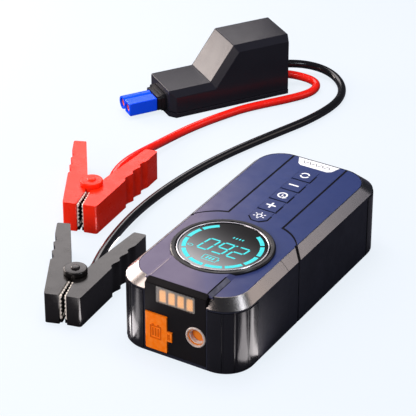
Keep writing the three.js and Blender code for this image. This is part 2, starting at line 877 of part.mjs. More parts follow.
for (const index of [0, 1, 2]) {
  const z0 = CELL.z0 + index * CELL.pitch;
  const cell = box(-CELL.halfWidth, CELL.halfWidth, CELL.y0, CELL.y1, z0, z0 + CELL.thickness);
  piece(`battery_cell_${index + 1}`, cell, MATERIAL.cell);
}

const mainBoard = box(-BOARD.halfX, BOARD.halfX, BOARD.y0, BOARD.y1, BOARD.z0, BOARD.z1);
piece('main_board', mainBoard, MATERIAL.board);

function screw() {
  const { headRadius, shankRadius, length } = SCREW;
  const profile = [
    [0, 0.3], [headRadius, 0.3], [headRadius, 2.3], [shankRadius, 2.3],
    [shankRadius, length], [0, length],
  ];
  return turned(profile, 12);
}

[[-1, -1], [1, -1], [-1, 1], [1, 1]].forEach(([x, y], index) => {
  const mesh = piece(`case_screw_${index + 1}`, screw(), MATERIAL.steel);
  mesh.position.set(x * SCREW.x, y * SCREW.y, 0);
});

// ---------------------------------------------------------------- lead set: module

// Group axes: X from the plug end to the cable end, Y across, Z up.
const moduleGroup = new THREE.Group();
moduleGroup.position.set(MODULE.plugEndX, MODULE.plugEndY, 0);
moduleGroup.rotation.z = MODULE.heading * Math.PI / 180;
object.add(moduleGroup);

function moduleProfile(shrink, y) {
  const { length, lowDeck, highDeck, rampStart, rampEnd } = MODULE;
  return [
    [shrink, 0], [length - shrink, 0], [length - shrink, highDeck - shrink],
    [rampEnd + shrink * 0.6, highDeck - shrink], [rampStart + shrink * 0.6, lowDeck - shrink],
    [shrink, lowDeck - shrink],
  ].map(([x, z]) => new THREE.Vector3(x, y, z));
}

function moduleBlock(inset) {
  const half = MODULE.halfWidth - inset;
  const rings = [
    moduleProfile(inset + MODULE.bevelDrop, half),
    moduleProfile(inset, half - MODULE.bevelWidth),
    moduleProfile(inset, -half + MODULE.bevelWidth),
    moduleProfile(inset + MODULE.bevelDrop, -half),
  ];
  return skin(rings, (point) => new THREE.Vector2(point.x, point.z));
}

function cableExitHoles() {
  return [CABLE.redExit, CABLE.blackExit].map(
    ([y, z]) => rod(CABLE.clearance, [MODULE.length - 12, y, z], [MODULE.length + 5, y, z], 16),
  );
}

function moduleShells() {
  const { wall, splitZ, halfWidth } = MODULE;
  const hollow = moduleBlock(wall).intersect(box(-BIG, BIG, -BIG, BIG, wall, 100));
  const shell = cut(moduleBlock(0), hollow, ...cableExitHoles());
  const below = box(-BIG, BIG, -BIG, BIG, -1, splitZ - 0.15);
  const above = box(-BIG, BIG, -BIG, BIG, splitZ + 0.15, 100);
  const plugHole = box(-5, wall + 3, -8, 8, PLUG.z - 2.5, PLUG.z + 4);
  return [shell.intersect(below), cut(shell.intersect(above), plugHole)];
}

const [moduleBase, moduleTop] = moduleShells();
piece('module_base_shell', moduleBase, MATERIAL.black, moduleGroup);
piece('module_top_shell', moduleTop, MATERIAL.black, moduleGroup);
piece('module_board', box(8, 80, -13, 13, 13.5, 15.1), MATERIAL.board, moduleGroup);

function plugCollar() {
  const inner = box(-3.2, -GAP, -11.5, 11.5, PLUG.z - 5.8, PLUG.z + 7.2);
  const outer = box(-PLUG.start + GAP, -3, -10.2, 10.2, PLUG.z - 5.4, PLUG.z + 5.8);
  return join(inner, outer);
}

piece('plug_collar', plugCollar(), MATERIAL.black, moduleGroup);

// Round barrel on one side and a squared one on the other, so it fits one way only.
function plugHousing() {
  const { z, length, start, barrel, offset, contact } = PLUG;
  const x0 = -start - length;
  const round = rod(barrel, [x0, offset, z], [-start, offset, z], 24);
  const squared = box(x0, -start, -offset - barrel, 0, z - barrel, z + barrel);
  const bores = [-offset, offset].map(
    (y) => rod(contact + GAP, [x0 - 1, y, z], [-start - 3, y, z], 20),
  );
  return cut(join(round, squared), ...bores);
}

piece('plug_housing', plugHousing(), MATERIAL.blue, moduleGroup);

function plugContact(y) {
  const { z, length, start, contact } = PLUG;
  const sleeve = rod(contact, [-start - length + 1.5, y, z], [-start - 3.4, y, z], 20);
  return cut(sleeve, rod(contact - 1, [-start - length, y, z], [-start - 8, y, z], 16));
}

piece('plug_contact_left', plugContact(PLUG.offset), MATERIAL.contact, moduleGroup);
piece('plug_contact_right', plugContact(-PLUG.offset), MATERIAL.contact, moduleGroup);

// ---------------------------------------------------------------- lead set: clamps

// An arm lies along its own Y with the pivot at the origin and its outer edge at +X.
function gripEdge() {
  const { start, wave, humps, depth } = GRIP;
  const points = [];
  for (let hump = 0; hump < humps; hump += 1) {
    const y = start + hump * wave;
    points.push([CLAMP.outer, y], [CLAMP.outer - depth, y + 0.21 * wave]);
    points.push([CLAMP.outer - 0.75 * depth, y + 0.62 * wave]);
  }
  points.push([CLAMP.outer - 0.25 * depth, start + humps * wave]);
  return points;
}

function armOutline() {
  const { outer, tip, tail, tipWidth, waistWidth, tailWidth, jawRoot, waist } = CLAMP;
  return polygon([
    [outer - tipWidth, tip - 0.6],
    [outer, tip + 1],
    ...gripEdge(),
    [outer, tail],
    [outer - tailWidth, tail - 1],
    [outer - waistWidth, waist],
    [outer - waistWidth, jawRoot],
  ]);
}

function earDiscs(radius, layers) {
  return layers.map(([z0, z1]) => disc(radius, 0, 0, z0, z1, 24));
}

function fixedArm() {
  const bar = cut(prism(armOutline(), 0, CLAMP.height), ...earDiscs(CLEAR_EAR, [[4, 16]]));
  return join(bar, ...earDiscs(CLAMP.earRadius, OUTER_EARS));
}

function movingArm() {
  const clear = earDiscs(CLEAR_EAR, [[-1, 4.3], [15.7, ABOVE]]);
  const springSpace = earDiscs(6, [[7, 13]]);
  const bar = cut(prism(armOutline(), 0, CLAMP.height), ...clear);
  return cut(join(bar, ...earDiscs(CLAMP.earRadius, INNER_EARS)), ...springSpace);
}

function pinHole() {
  return disc(CLAMP.pinRadius + GAP, 0, 0, -1, ABOVE, 16);
}

// Stamped jaw: a back strip with a saw-toothed rim along the top, the tip and the bottom.
// Its own X runs from the pivot to the tip, and its teeth point to -Y.
function jawPlate() {
  const { outer, tip, tipWidth, waistWidth, jawRoot } = CLAMP;
  const root = new THREE.Vector2(outer - waistWidth, jawRoot);
  const way = new THREE.Vector2(outer - tipWidth, tip - 0.6).sub(root);
  const angle = way.angle();
  const start = 2;
  const end = way.length() - 0.4;
  const pitch = (end - start) / JAW.teeth;
  const saw = [[start, 0]];
  for (let tooth = 0; tooth < JAW.teeth; tooth += 1) {
    const foot = start + tooth * pitch;
    saw.push([foot, -JAW.back], [foot + pitch / 2, -JAW.reach]);
  }
  saw.push([end, -JAW.back], [end, 0]);
  const strip = box(start, end, -JAW.back, 0, JAW.bottom, JAW.top);
  const rimFeet = [JAW.bottom, JAW.top - JAW.rim];
  const rims = rimFeet.map((z) => prism(polygon(saw), z, z + JAW.rim));
  const rise = (JAW.top - JAW.bottom - 2 * JAW.rim) / JAW.frontTeeth;
  const frontTeeth = Array.from({ length: JAW.frontTeeth }, (_, index) => {
    const z = JAW.bottom + JAW.rim + index * rise;
    const foot = 0.1 - JAW.back;
    const outline = [[foot, z], [foot, z + rise], [-JAW.reach, z + rise / 2]];
    return prismAlongX(outline, end - 1, end);
  });
  const plate = join(strip, ...rims, ...frontTeeth).rotate([0, 0, angle * 180 / Math.PI]);
  return plate.translate([
    root.x + JAW.standOff * Math.sin(angle),
    root.y - JAW.standOff * Math.cos(angle),
    0,
  ]);
}

// Torsion spring coil round the pivot pin with one straight leg each side.
function torsionSpring() {
  const { coil, wire, turns, perTurn, bottom, rise } = SPRING;
  const points = [new THREE.Vector3(coil, 9, bottom)];
  const count = turns * perTurn;
  for (let step = 0; step <= count; step += 1) {
    const angle = step / perTurn * Math.PI * 2;
    const z = bottom + step / count * rise;
    points.push(new THREE.Vector3(coil * Math.cos(angle), coil * Math.sin(angle), z));
  }
  return tube(points, wire, 36, 2);
}

function pivotPin() {
  const { pinRadius, capRadius, capTop, bossRadius, bossTop, height } = CLAMP;
  return turned([
    [0, GAP], [pinRadius, GAP], [pinRadius, height + GAP], [capRadius, height + GAP],
    [capRadius, capTop - 0.8], [capRadius - 1, capTop], [bossRadius, capTop],
    [bossRadius - 0.5, bossTop], [0, bossTop],
  ], 24);
}

function cableBore() {
  return rod(CABLE.clearance, CABLE_ENTRY[0], CABLE_ENTRY[2], 16);
}

function clamp(colour, look, pivot) {
  const group = new THREE.Group();
  group.position.set(pivot[0], pivot[1], 0);
  group.rotation.z = CLAMP.lean * Math.PI / 180;
  object.add(group);
  const open = CLAMP.halfOpen;
  const fixed = cut(fixedArm(), pinHole()).rotate([0, 0, -open]);
  const moving = cut(movingArm(), pinHole()).mirror([1, 0, 0]).rotate([0, 0, open]);
  piece(`${colour}_fixed_arm`, cut(fixed, cableBore()), look, group);
  piece(`${colour}_moving_arm`, moving, look, group);
  piece(`${colour}_fixed_jaw`, jawPlate().rotate([0, 0, -open]), MATERIAL.copper, group);
  const movingJaw = jawPlate().mirror([1, 0, 0]).rotate([0, 0, open]);
  piece(`${colour}_moving_jaw`, movingJaw, MATERIAL.copper, group);
  piece(`${colour}_pivot_pin`, pivotPin(), look, group);
  piece(`${colour}_clamp_spring`, torsionSpring(), MATERIAL.steel, group);
  return group;
}

const redClamp = clamp('red', MATERIAL.red, RED_PIVOT);
const blackClamp = clamp('black', MATERIAL.black, BLACK_PIVOT);

// ---------------------------------------------------------------- lead set: cables

function worldPoints(group, points) {
  group.updateMatrixWorld(true);
  return points.map((point) => group.localToWorld(new THREE.Vector3(...point)));
}

function cable(name, look, exit, floorPoints, clampGroup) {
  const [y, z] = exit;
  const start = worldPoints(moduleGroup, [[MODULE.length - 8, y, z], [MODULE.length + 3, y, z]]);
  const middle = floorPoints.map((point) => new THREE.Vector3(...point));
  const end = worldPoints(clampGroup, CABLE_ENTRY);
  piece(name, tube([...start, ...middle, ...end], CABLE.radius, CABLE.steps, 3), look);
}

cable('red_cable', MATERIAL.red, CABLE.redExit, CABLE.redPath, redClamp);
cable('black_cable', MATERIAL.black, CABLE.blackExit, CABLE.blackPath, blackClamp);

export default object;
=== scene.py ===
import json
import math
from contextlib import contextmanager

import bmesh
import bpy
from mathutils import Matrix, Vector


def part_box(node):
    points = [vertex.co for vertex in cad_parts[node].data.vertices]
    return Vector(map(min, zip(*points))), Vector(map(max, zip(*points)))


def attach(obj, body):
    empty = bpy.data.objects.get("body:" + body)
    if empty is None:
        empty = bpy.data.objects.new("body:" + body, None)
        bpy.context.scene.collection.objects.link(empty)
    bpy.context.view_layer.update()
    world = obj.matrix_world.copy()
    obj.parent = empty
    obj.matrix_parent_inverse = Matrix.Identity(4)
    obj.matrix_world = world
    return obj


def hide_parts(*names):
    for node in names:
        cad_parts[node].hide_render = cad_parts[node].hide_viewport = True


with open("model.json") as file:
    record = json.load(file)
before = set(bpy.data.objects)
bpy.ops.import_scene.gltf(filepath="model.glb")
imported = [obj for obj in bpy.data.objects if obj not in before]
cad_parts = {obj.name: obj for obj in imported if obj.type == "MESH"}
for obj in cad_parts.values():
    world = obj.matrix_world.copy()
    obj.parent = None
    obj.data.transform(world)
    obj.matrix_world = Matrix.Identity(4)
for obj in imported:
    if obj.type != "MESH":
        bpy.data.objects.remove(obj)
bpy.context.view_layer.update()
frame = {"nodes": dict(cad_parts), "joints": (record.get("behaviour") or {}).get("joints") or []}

# Lengths in this script are millimetres; a mesh is scaled to metres as it is made.
MM = 0.001
FAR = 200                     # reach of cutting blocks, larger than any piece
GAP = 0.3                     # clearance between neighbouring pieces
CORNER_STEPS = 20             # facets in each rounded corner of the pack
ROUND = 64                    # facets round a turned piece


# ---- places from the frame


def span(node):
    """Lowest and highest corner of a CAD node, in millimetres."""
    low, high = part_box(node)
    return low / MM, high / MM


def middle(node):
    low, high = span(node)
    return (low + high) / 2


def joint_place(name):
    """Where the record puts a joint, in millimetres."""
    found = next(joint for joint in frame["joints"] if joint["name"] == name)
    return Vector(found["pos_m"]) / MM


SHELL_LOW, SHELL_HIGH = span("rear_housing")
HALF_X = SHELL_HIGH.x
HALF_Y = SHELL_HIGH.y
SHELL_TOP = SHELL_HIGH.z
SEAM_Y = SHELL_LOW.y - GAP / 2
RIM_LOW, RIM_HIGH = span("rim_band")
TOP_Z = RIM_HIGH.z
COVER_LOW, COVER_HIGH = span("left_wing")
NOSE_LOW, NOSE_HIGH = span("control_panel")
PANEL_LOW, PANEL_HIGH = span("front_panel")
TRIM_LOW, TRIM_HIGH = span("corner_trim_right")
CAP_LOW = span("rear_end_cap")[0]
DIAL = middle("display_lens")
DIAL_TOP = span("display_lens")[1].z
BEZEL_LOW, BEZEL_HIGH = span("display_bezel")
OUTLET_LOW, OUTLET_HIGH = span("air_fitting")
MODULE_LOW, MODULE_HIGH = span("module_top_shell")
ARM_TOP = span("red_fixed_arm")[1].z
PIN_TOP = span("red_pivot_pin")[1].z

# The pack
CORNER = 19                   # plan radius of the pack's corners
WALL = 2.6                    # thickness of the casing
FLOOR = 2.4                   # top of the casing's floor
FOOT = 1.0                    # rounding under the casing
ABOVE = 60                    # a height above the whole pack, for cutting blocks
CUT = (40, ABOVE)             # heights that pass right through the covers
SCREW_BOSS = (4.2, 1, 14)     # radius, foot and top of each screw's boss
SCREW_HEAD = (3.0, -1, 2.5)
SCREW_SHANK = (1.6, -1, 12.5)
SCREW_STEPS = 24
RIM_INSET = 5.5               # how far the bevelled band leans in
RIM_CORNER = 18               # plan radius at the band's top
COVER_CORNER = 17.4           # plan radius of the covers' corners
STRIP_HALF = 19.5             # centre of the grooves beside the key strip
NOSE_HALF = 20                # half width of the tongue's top
NOSE_FOOT = 23.9              # half width of the tongue where it meets the deck
DECK_Z = COVER_HIGH.z - 0.4   # where the tongue's sides start
TRIM_DEPTH = 1                # how far a trim sits into the casing wall
TRIM_PROUD = 0.4              # how far it stands out of it
FLUTES = ((16, 0.8, 0.35), (42, 1.2, 0.8), (66, 0.8, 0.6))    # degrees, radius, depth
SEAM_HALF = 0.55              # half the joint between the housings
STEP_BACK = 13.5              # from the seam forwards to the shallow step
LIP_HALF = 21.1               # half width of the sloping edge under the tongue
KEY_NAMES = ["light_button", "plus_button", "power_button", "minus_button", "mode_button"]
KEY_CORNER = 4                # cut corners of the frontmost key
SEGMENTS = {"0": "abcdef", "9": "abcdfg", "2": "abged"}
DIGIT = {"width": 7.0, "height": 13.0, "stroke": 1.25, "inset": 0.5}
LEAN_OF_MARKS = 0.2           # sideways slant of the digits for each unit of height
RING_STEPS = 128              # facets round the display's rings
DIAL_WELL = 30.9              # radius of the display's hole in the cover
DIAL_STEP = 32.6              # radius of the step round that hole
CHIP_PITCH = 6.3              # the lamp's emitters
CHIP_HALF = 2.05
CHIP_Z = (38.2, 45.9)
RIB_PITCH = 2.1               # the ribs on the lamp's lens
RIB_WIDTH = 0.26
OUTLET_FLANGE = (OUTLET_HIGH.x - OUTLET_LOW.x) / 2
OUTLET_Z = OUTLET_LOW.z + OUTLET_FLANGE
THREAD = {"radius": 5.0, "depth": 0.55, "pitch": 1.1, "steps": 40}
TAB_Z = (12.5, 19)            # the flap's pull tab
TAB_REACH = 3.5

# The lead set
MODULE_HALF = 20.8            # half width
MODULE_BEVEL_WIDTH = 5
MODULE_BEVEL_DROP = 3.9
MODULE_LONG = 96.5
MODULE_WALL = 2.2
MODULE_ABOVE = 100            # a height above the whole module
MODULE_BOARD_X = 44           # from the module's plug end to the middle of its board
LOW_DECK = 20.4               # top at the plug end
HIGH_DECK = MODULE_HIGH.z
RAMP = (33.2, 52.2)           # where the slope between the decks starts and ends
SPLIT_Z = MODULE_LOW.z - GAP / 2
PLUG_Z = 8
PLUG_X = (-28.3, -6.3)
PLUG_POLE = 4.5               # from the plug's middle to each contact
CABLES = {                    # finish, and the exit across and up on the module
    "red_cable": ("cable_red", (-7, 9.5)),
    "black_cable": ("cable_black", (6, 11.5)),
}
CABLE_RADIUS = 3.0
LOOP_Y = 200                  # beyond this the cables loop round beside the module
RELAX_PASSES = 30
LEAN = 16.4                   # degrees the clamp's middle line leans from +Y
HALF_OPEN = 12.7              # degrees from the middle line to each arm
ARM = {"outer": 17.4, "tip": -25.5, "tail": 60.4, "tip_width": 9.1, "waist_width": 13.6,
       "tail_width": 8.8, "root": -8, "waist": 11, "ear": 7}
GRIP = {"start": 15, "wave": 10.5, "humps": 3, "depth": 1.8, "front": 0.32}
FORK = (4, 16)                # heights between which the fixed arm's fork is open
SPRING_ROOM = (7, 13)         # heights that the moving arm leaves to the spring
PIN_HOLE = 2.8
JAW_PROUD = 0.2               # how far a jaw stands off its arm
JAW_BACK = 0.2                # reach of the teeth at their roots
JAW_REACH = 1.25              # and at their tips
JAW_RIM = 0.9
JAW_Z = (3.0, ARM_TOP - 1.1)
JAW_LENGTH = 17.6
JAW_TEETH = 6
CAP_RADIUS = 7.6
BOSS_RADIUS = 2.8
SPRING = {"radius": 4.2, "foot": 7.9, "rise": 4.2, "turns": 2, "steps": 24, "wire": 0.5}

# Light and camera
WARM = (1.0, 0.88, 0.82)
SOFT = (1.0, 0.94, 0.94)
PLAIN = (1.0, 0.97, 0.95)
COOL = (0.88, 0.93, 1.0)
CAMERA_PLACE = (557.8, -979.5, 722.0)
CAMERA_TURN = (90 - 30.449, 0, 31.109)       # degrees about X, Y and Z
CAMERA_LENS = 182.4


# ---- mesh tools


def new_object(name, data):
    obj = bpy.data.objects.new(name, data)
    bpy.context.scene.collection.objects.link(obj)
    return obj


@contextmanager
def mesh_edit(mesh):
    """A mesh opened for editing, and written back at the end."""
    work = bmesh.new()
    work.from_mesh(mesh)
    yield work
    work.to_mesh(mesh)
    work.free()


def make(name, points, faces):
    """A mesh from points in millimetres, with its faces turned outwards."""
    mesh = bpy.data.meshes.new(name)
    mesh.from_pydata([Vector(point) * MM for point in points], [], faces)
    with mesh_edit(mesh) as work:
        bmesh.ops.recalc_face_normals(work, faces=work.faces)
    return new_object(name, mesh)


def faces_between(low, high, count):
    """Faces between two rings of count points, each given by its first index."""
    following = [(i + 1) % count for i in range(count)]
    return [[low + i, low + j, high + j, high + i] for i, j in enumerate(following)]


def loft(name, rings):
    """A closed solid through rings that all have the same number of points."""
    count = len(rings[0])
    last = (len(rings) - 1) * count
    faces = [list(range(count))]
    for low in range(0, last, count):
        faces += faces_between(low, low + count, count)
    faces.append(list(range(last, last + count)))
    return make(name, [point for ring in rings for point in ring], faces)


def prism(name, outline, z0, z1):
    """An outline in X and Y, raised from z0 to z1."""
    return loft(name, [[(x, y, z) for x, y in outline] for z in (z0, z1)])


def prism_y(name, outline, y0, y1):
    """An outline in X and Z, swept from y0 to y1."""
    return loft(name, [[(x, y, z) for x, z in outline] for y in (y0, y1)])


def prism_x(name, outline, x0, x1):
    """An outline in Y and Z, swept from x0 to x1."""
    return loft(name, [[(x, y, z) for y, z in outline] for x in (x0, x1)])


def rectangle(x0, x1, y0, y1):
    return [(x0, y0), (x1, y0), (x1, y1), (x0, y1)]


def block(x0, x1, y0, y1, z0, z1):
    return prism("block", rectangle(x0, x1, y0, y1), z0, z1)


def slab(z0, z1):
    """Everything between two heights."""
    return block(-FAR, FAR, -FAR, FAR, z0, z1)


def circle(radius, height, axis, place, steps):
    """A ring of points about an axis through place, at a height along it."""
    ring = []
    for step in range(steps):
        angle = step * math.tau / steps
        a, b = radius * math.cos(angle), radius * math.sin(angle)
        point = {"X": (height, a, b), "Y": (b, height, a), "Z": (a, b, height)}[axis]
        ring.append(Vector(point) + Vector(place))
    return ring


def spindle(name, profile, axis="Z", place=(0, 0, 0), steps=ROUND):
    """A solid turned piece: (radius, height) pairs from one flat end to the other."""
    return loft(name, [circle(r, h, axis, place, steps) for r, h in profile])


def rod(radius, axis, place, start, end, steps=ROUND):
    return spindle("rod", [(radius, start), (radius, end)], axis, place, steps)


def upright(place, radius, z0, z1, steps=ROUND):
    """A vertical rod at a place in plan."""
    return rod(radius, "Z", (place.x, place.y, 0), z0, z1, steps)


def turned(name, profile, axis, place, steps):
    """A ring-shaped piece: a closed section of (radius, height) pairs turned about an axis."""
    points = [point for r, h in profile for point in circle(r, h, axis, place, steps)]
    faces = []
    for low in range(0, len(points), steps):
        faces += faces_between(low, (low + steps) % len(points), steps)
    return make(name, points, faces)


def bake(obj):
    """Turns an object's modifiers into plain mesh."""
    graph = bpy.context.evaluated_depsgraph_get()
    mesh = bpy.data.meshes.new_from_object(obj.evaluated_get(graph))
    obj.modifiers.clear()
    obj.data = mesh
    return obj


def combine(obj, others, operation):
    for other in others:
        modifier = obj.modifiers.new("combine", "BOOLEAN")
        modifier.operation = operation
        modifier.solver = "EXACT"
        modifier.object = other
        bake(obj)
        bpy.data.objects.remove(other)
    return obj


def cut(obj, *others):
    return combine(obj, others, "DIFFERENCE")


def join(obj, *others):
    return combine(obj, others, "UNION")


def keep(obj, region):
    return combine(obj, [region], "INTERSECT")


def copy_of(obj, name):
    return new_object(name, obj.data.copy())


def flipped(obj):
    """Mirrors an object in the plane x = 0."""
    obj.data.transform(Matrix.Scale(-1, 4, (1, 0, 0)))
    obj.data.flip_normals()
    return obj


def mirrored(obj, name):
    return flipped(copy_of(obj, name))


def shade(obj, sharp=32):
    obj.data.shade_smooth()
    obj.data.set_sharp_from_angle(angle=math.radians(sharp))


def triangulate(obj):
    with mesh_edit(obj.data) as work:
        bmesh.ops.triangulate(work, faces=work.faces)


def soften(obj, width, segments=3, angle=28):
    """Rounds the edges and keeps flat faces flat in their shading."""
    triangulate(obj)
    obj.data.shade_smooth()
    modifier = obj.modifiers.new("soften", "BEVEL")
    modifier.width = width * MM
    modifier.segments = segments
    modifier.limit_method = "ANGLE"
    modifier.angle_limit = math.radians(angle)
    modifier.harden_normals = True
    return bake(obj)


def tube(name, centres, radius, sides=24):
    """A round bar along a list of centres, with flat ends."""
    centres = [Vector(centre) for centre in centres]
    normal = None
    rings = []
    for i, centre in enumerate(centres):
        ahead = centres[min(i + 1, len(centres) - 1)]
        behind = centres[max(i - 1, 0)]
        way = (ahead - behind).normalized()
        guess = normal or (Vector((0, 0, 1)) if abs(way.z) < 0.9 else Vector((1, 0, 0)))
        normal = (guess - way * guess.dot(way)).normalized()
        side = way.cross(normal)
        ring = []
        for step in range(sides):
            angle = step * math.tau / sides
            ring.append(centre + radius * (math.cos(angle) * normal + math.sin(angle) * side))
        rings.append(ring)
    return loft(name, rings)


def smooth_path(points, per_span):
    """Catmull-Rom points through the given ones."""
    points = [Vector(point) for point in points]
    ends = [2 * points[0] - points[1]] + points + [2 * points[-1] - points[-2]]
    result = []
    for i in range(1, len(ends) - 2):
        a, b, c, d = ends[i - 1:i + 3]
        for step in range(per_span):
            t = step / per_span
            curve = 2 * b + (c - a) * t
            curve += (2 * a - 5 * b + 4 * c - d) * t * t
            curve += (3 * b - a - 3 * c + d) * t ** 3
            result.append(curve / 2)
    result.append(points[-1])
    return result


def rounded(half_x, half_y, radius, z, steps=CORNER_STEPS):
    points = []
    for quarter in range(4):
        sign_x = 1 if quarter in (0, 3) else -1
        sign_y = 1 if quarter < 2 else -1
        for step in range(steps + 1):
            angle = math.radians(90 * (quarter + step / steps))
            x = sign_x * (half_x - radius) + radius * math.cos(angle)
            y = sign_y * (half_y - radius) + radius * math.sin(angle)
            points.append((x, y, z))
    return points


def pack_block(name, grow, z0, z1):
    """The pack's rounded outline, moved outwards by grow, between two heights."""
    rings = [rounded(HALF_X + grow, HALF_Y + grow, CORNER + grow, z) for z in (z0, z1)]
    return loft(name, rings)


# ---- material tools


NOISE_SPAN = (0.3, 0.7)       # values that a noise texture mostly keeps between
WORN_AND_LIT_EDGE = (0.56, 0.66)      # pointiness where the edge marks, wear and a painted highlight, start and are complete


class Nodes:
    """A material's node tree with short ways to add and feed nodes."""

    def __init__(self, name):
        self.material = bpy.data.materials.new(name)
        self.material.use_nodes = True
        self.tree = self.material.node_tree
        self.shader = self.tree.nodes["Principled BSDF"]
        self.output = self.tree.nodes["Material Output"]
        self.coords = self.add("ShaderNodeTexCoord").outputs["Object"]

    def add(self, kind, **inputs):
        node = self.tree.nodes.new(kind)
        for key, value in inputs.items():
            node.inputs[key].default_value = value
        return node

    def feed(self, value, socket):
        """Links another node's output to a socket, or sets the socket to a plain value."""
        if isinstance(value, bpy.types.NodeSocket):
            self.tree.links.new(value, socket)
        else:
            socket.default_value = value

    def finish(self, sockets):
        """Feeds the shader's inputs by name, and gives back the material."""
        for name, value in sockets.items():
            self.feed(value, self.shader.inputs[name])
        return self.material

    def noise(self, scale, detail=3.0, stretch=(1, 1, 1)):
        mapping = self.add("ShaderNodeMapping", Scale=stretch)
        self.feed(self.coords, mapping.inputs["Vector"])
        node = self.add("ShaderNodeTexNoise", Scale=scale, Detail=detail)
        self.feed(mapping.outputs["Vector"], node.inputs["Vector"])
        return node.outputs["Fac"]

    def ramp(self, value, low, high, start=0.0, end=1.0):
        """Maps start to low and end to high."""
        limits = {"From Min": start, "From Max": end, "To Min": low, "To Max": high}
        node = self.add("ShaderNodeMapRange", **limits)
        self.feed(value, node.inputs["Value"])
        return node.outputs["Result"]

    def operate(self, kind, operation, first, second):
        """A maths or vector maths node, fed with two values."""
        node = self.add(kind)
        node.operation = operation
        self.feed(first, node.inputs[0])
        self.feed(second, node.inputs[1])
        return node

    def maths(self, operation, first, second):
        return self.operate("ShaderNodeMath", operation, first, second).outputs["Value"]

    def mix(self, factor, first, second):
        node = self.add("ShaderNodeMix")
        node.data_type = "RGBA"
        for value, index in ((factor, 0), (first, 6), (second, 7)):
            self.feed((*value, 1) if isinstance(value, tuple) else value, node.inputs[index])
        return node.outputs[2]

    def bump(self, height, depth):
        """Relief of so many millimetres."""
        node = self.add("ShaderNodeBump", Strength=1.0, Distance=depth * MM)
        self.feed(height, node.inputs["Height"])
        return node.outputs["Normal"]

    def edges(self):
        """1 on convex edges, which take wear and a painted highlight, 0 elsewhere."""
        geometry = self.add("ShaderNodeNewGeometry")
        return self.ramp(geometry.outputs["Pointiness"], 0.0, 1.0, *WORN_AND_LIT_EDGE)


def shifted(colour, factor):
    return tuple(min(1.0, channel * factor) for channel in colour)


def surface(name, colour, roughness, metallic=0.0, specular=0.5, coat=0.0, blotch=0.12,
            grain=0.004, grain_scale=2600, wear_and_highlight=0.25, wear_and_highlight_colour=None, stretch=(1, 1, 1),
            unevenness=0.06, painted_light=None):
    """A moulded or metal finish: mottled colour, fine grain, uneven gloss, and convex edges recoloured,
    partly as rubbed wear and partly as a painted highlight; an optional function paints a light or shade
    gradient into the colour.
    """
    nodes = Nodes(name)
    patches = nodes.ramp(nodes.noise(45, 4.0), 0, 1, *NOISE_SPAN)
    base = nodes.mix(patches, shifted(colour, 1 - blotch), shifted(colour, 1 + blotch))
    # painted light: an optional gradient of light or shade painted into the base colour
    if painted_light is not None:
        base = painted_light(nodes, base)
    # edge marks: rubbed wear, and a painted highlight on convex edges
    rubbed_and_lit = nodes.ramp(nodes.noise(320, 5.0), 0, wear_and_highlight, 0.35, 0.7)
    scuffs_and_highlights = nodes.maths("MULTIPLY", nodes.edges(), rubbed_and_lit)
    smooth, rough = roughness - unevenness, roughness + unevenness
    return nodes.finish({
        "Base Color": nodes.mix(scuffs_and_highlights, base, wear_and_highlight_colour or shifted(colour, 2.2)),
        "Roughness": nodes.ramp(nodes.noise(130, 5.0), smooth, rough, *NOISE_SPAN),
        "Normal": nodes.bump(nodes.noise(grain_scale, 2.0, stretch), grain),
        "Metallic": metallic,
        "Specular IOR Level": specular,
        "Coat Weight": coat,
        "Coat Roughness": 0.1,
    })


def glowing(name, colour, strength, ground=(0.02, 0.02, 0.02)):
    """A lit display or emitter surface, slightly uneven in brightness."""
    nodes = Nodes(name)
    patches = nodes.ramp(nodes.noise(900, 2.0), 0, 1, *NOISE_SPAN)
    return nodes.finish({
        "Base Color": (*ground, 1),
        "Roughness": 0.5,
        "Emission Color": nodes.mix(patches, shifted(colour, 0.88), shifted(colour, 1.1)),
        "Emission Strength": strength,
    })


def fade(nodes, base, far, start, end, power):
    """Paints a light or shade gradient: mixes base into far along a line in plan, from start to end in
    millimetres.
    """
    way = Vector(end) - Vector(start)
    offset = nodes.operate("ShaderNodeVectorMath", "SUBTRACT", nodes.coords,
                           (start[0] * MM, start[1] * MM, 0))
    along = nodes.operate("ShaderNodeVectorMath", "DOT_PRODUCT", offset.outputs["Vector"],
                          (*way / way.length_squared / MM, 0))
    share = nodes.ramp(along.outputs["Value"], 0.0, 1.0)
    return nodes.mix(nodes.maths("POWER", share, power), base, far)


def painted_front_sheen(nodes, base):
    """Painted sheen: the pack's cover turns from navy to a purple grey towards its front left, as a
    reflection painted into its colour.
    """
    return fade(nodes, base, (0.135, 0.113, 0.180), (19, 12), (-33, -17), 2.6)


def painted_dial_glare(nodes, base):
    """Painted reflection: the dial face turns from black at its rear to light grey at its front."""
    return fade(nodes, base, (0.40, 0.40, 0.41), (8, DIAL.y + 24), (-8, DIAL.y - 28), 2.2)


def painted_band_shade(nodes, base):
    """Painted shade: the bevelled band is darker and cooler along its rear half."""
    return fade(nodes, base, (0.27, 0.285, 0.33), (40, -60), (40, 80), 0.5)


BRUSHED = dict(metallic=1.0, blotch=0.1, grain=0.006, grain_scale=700, wear_and_highlight=0.4)

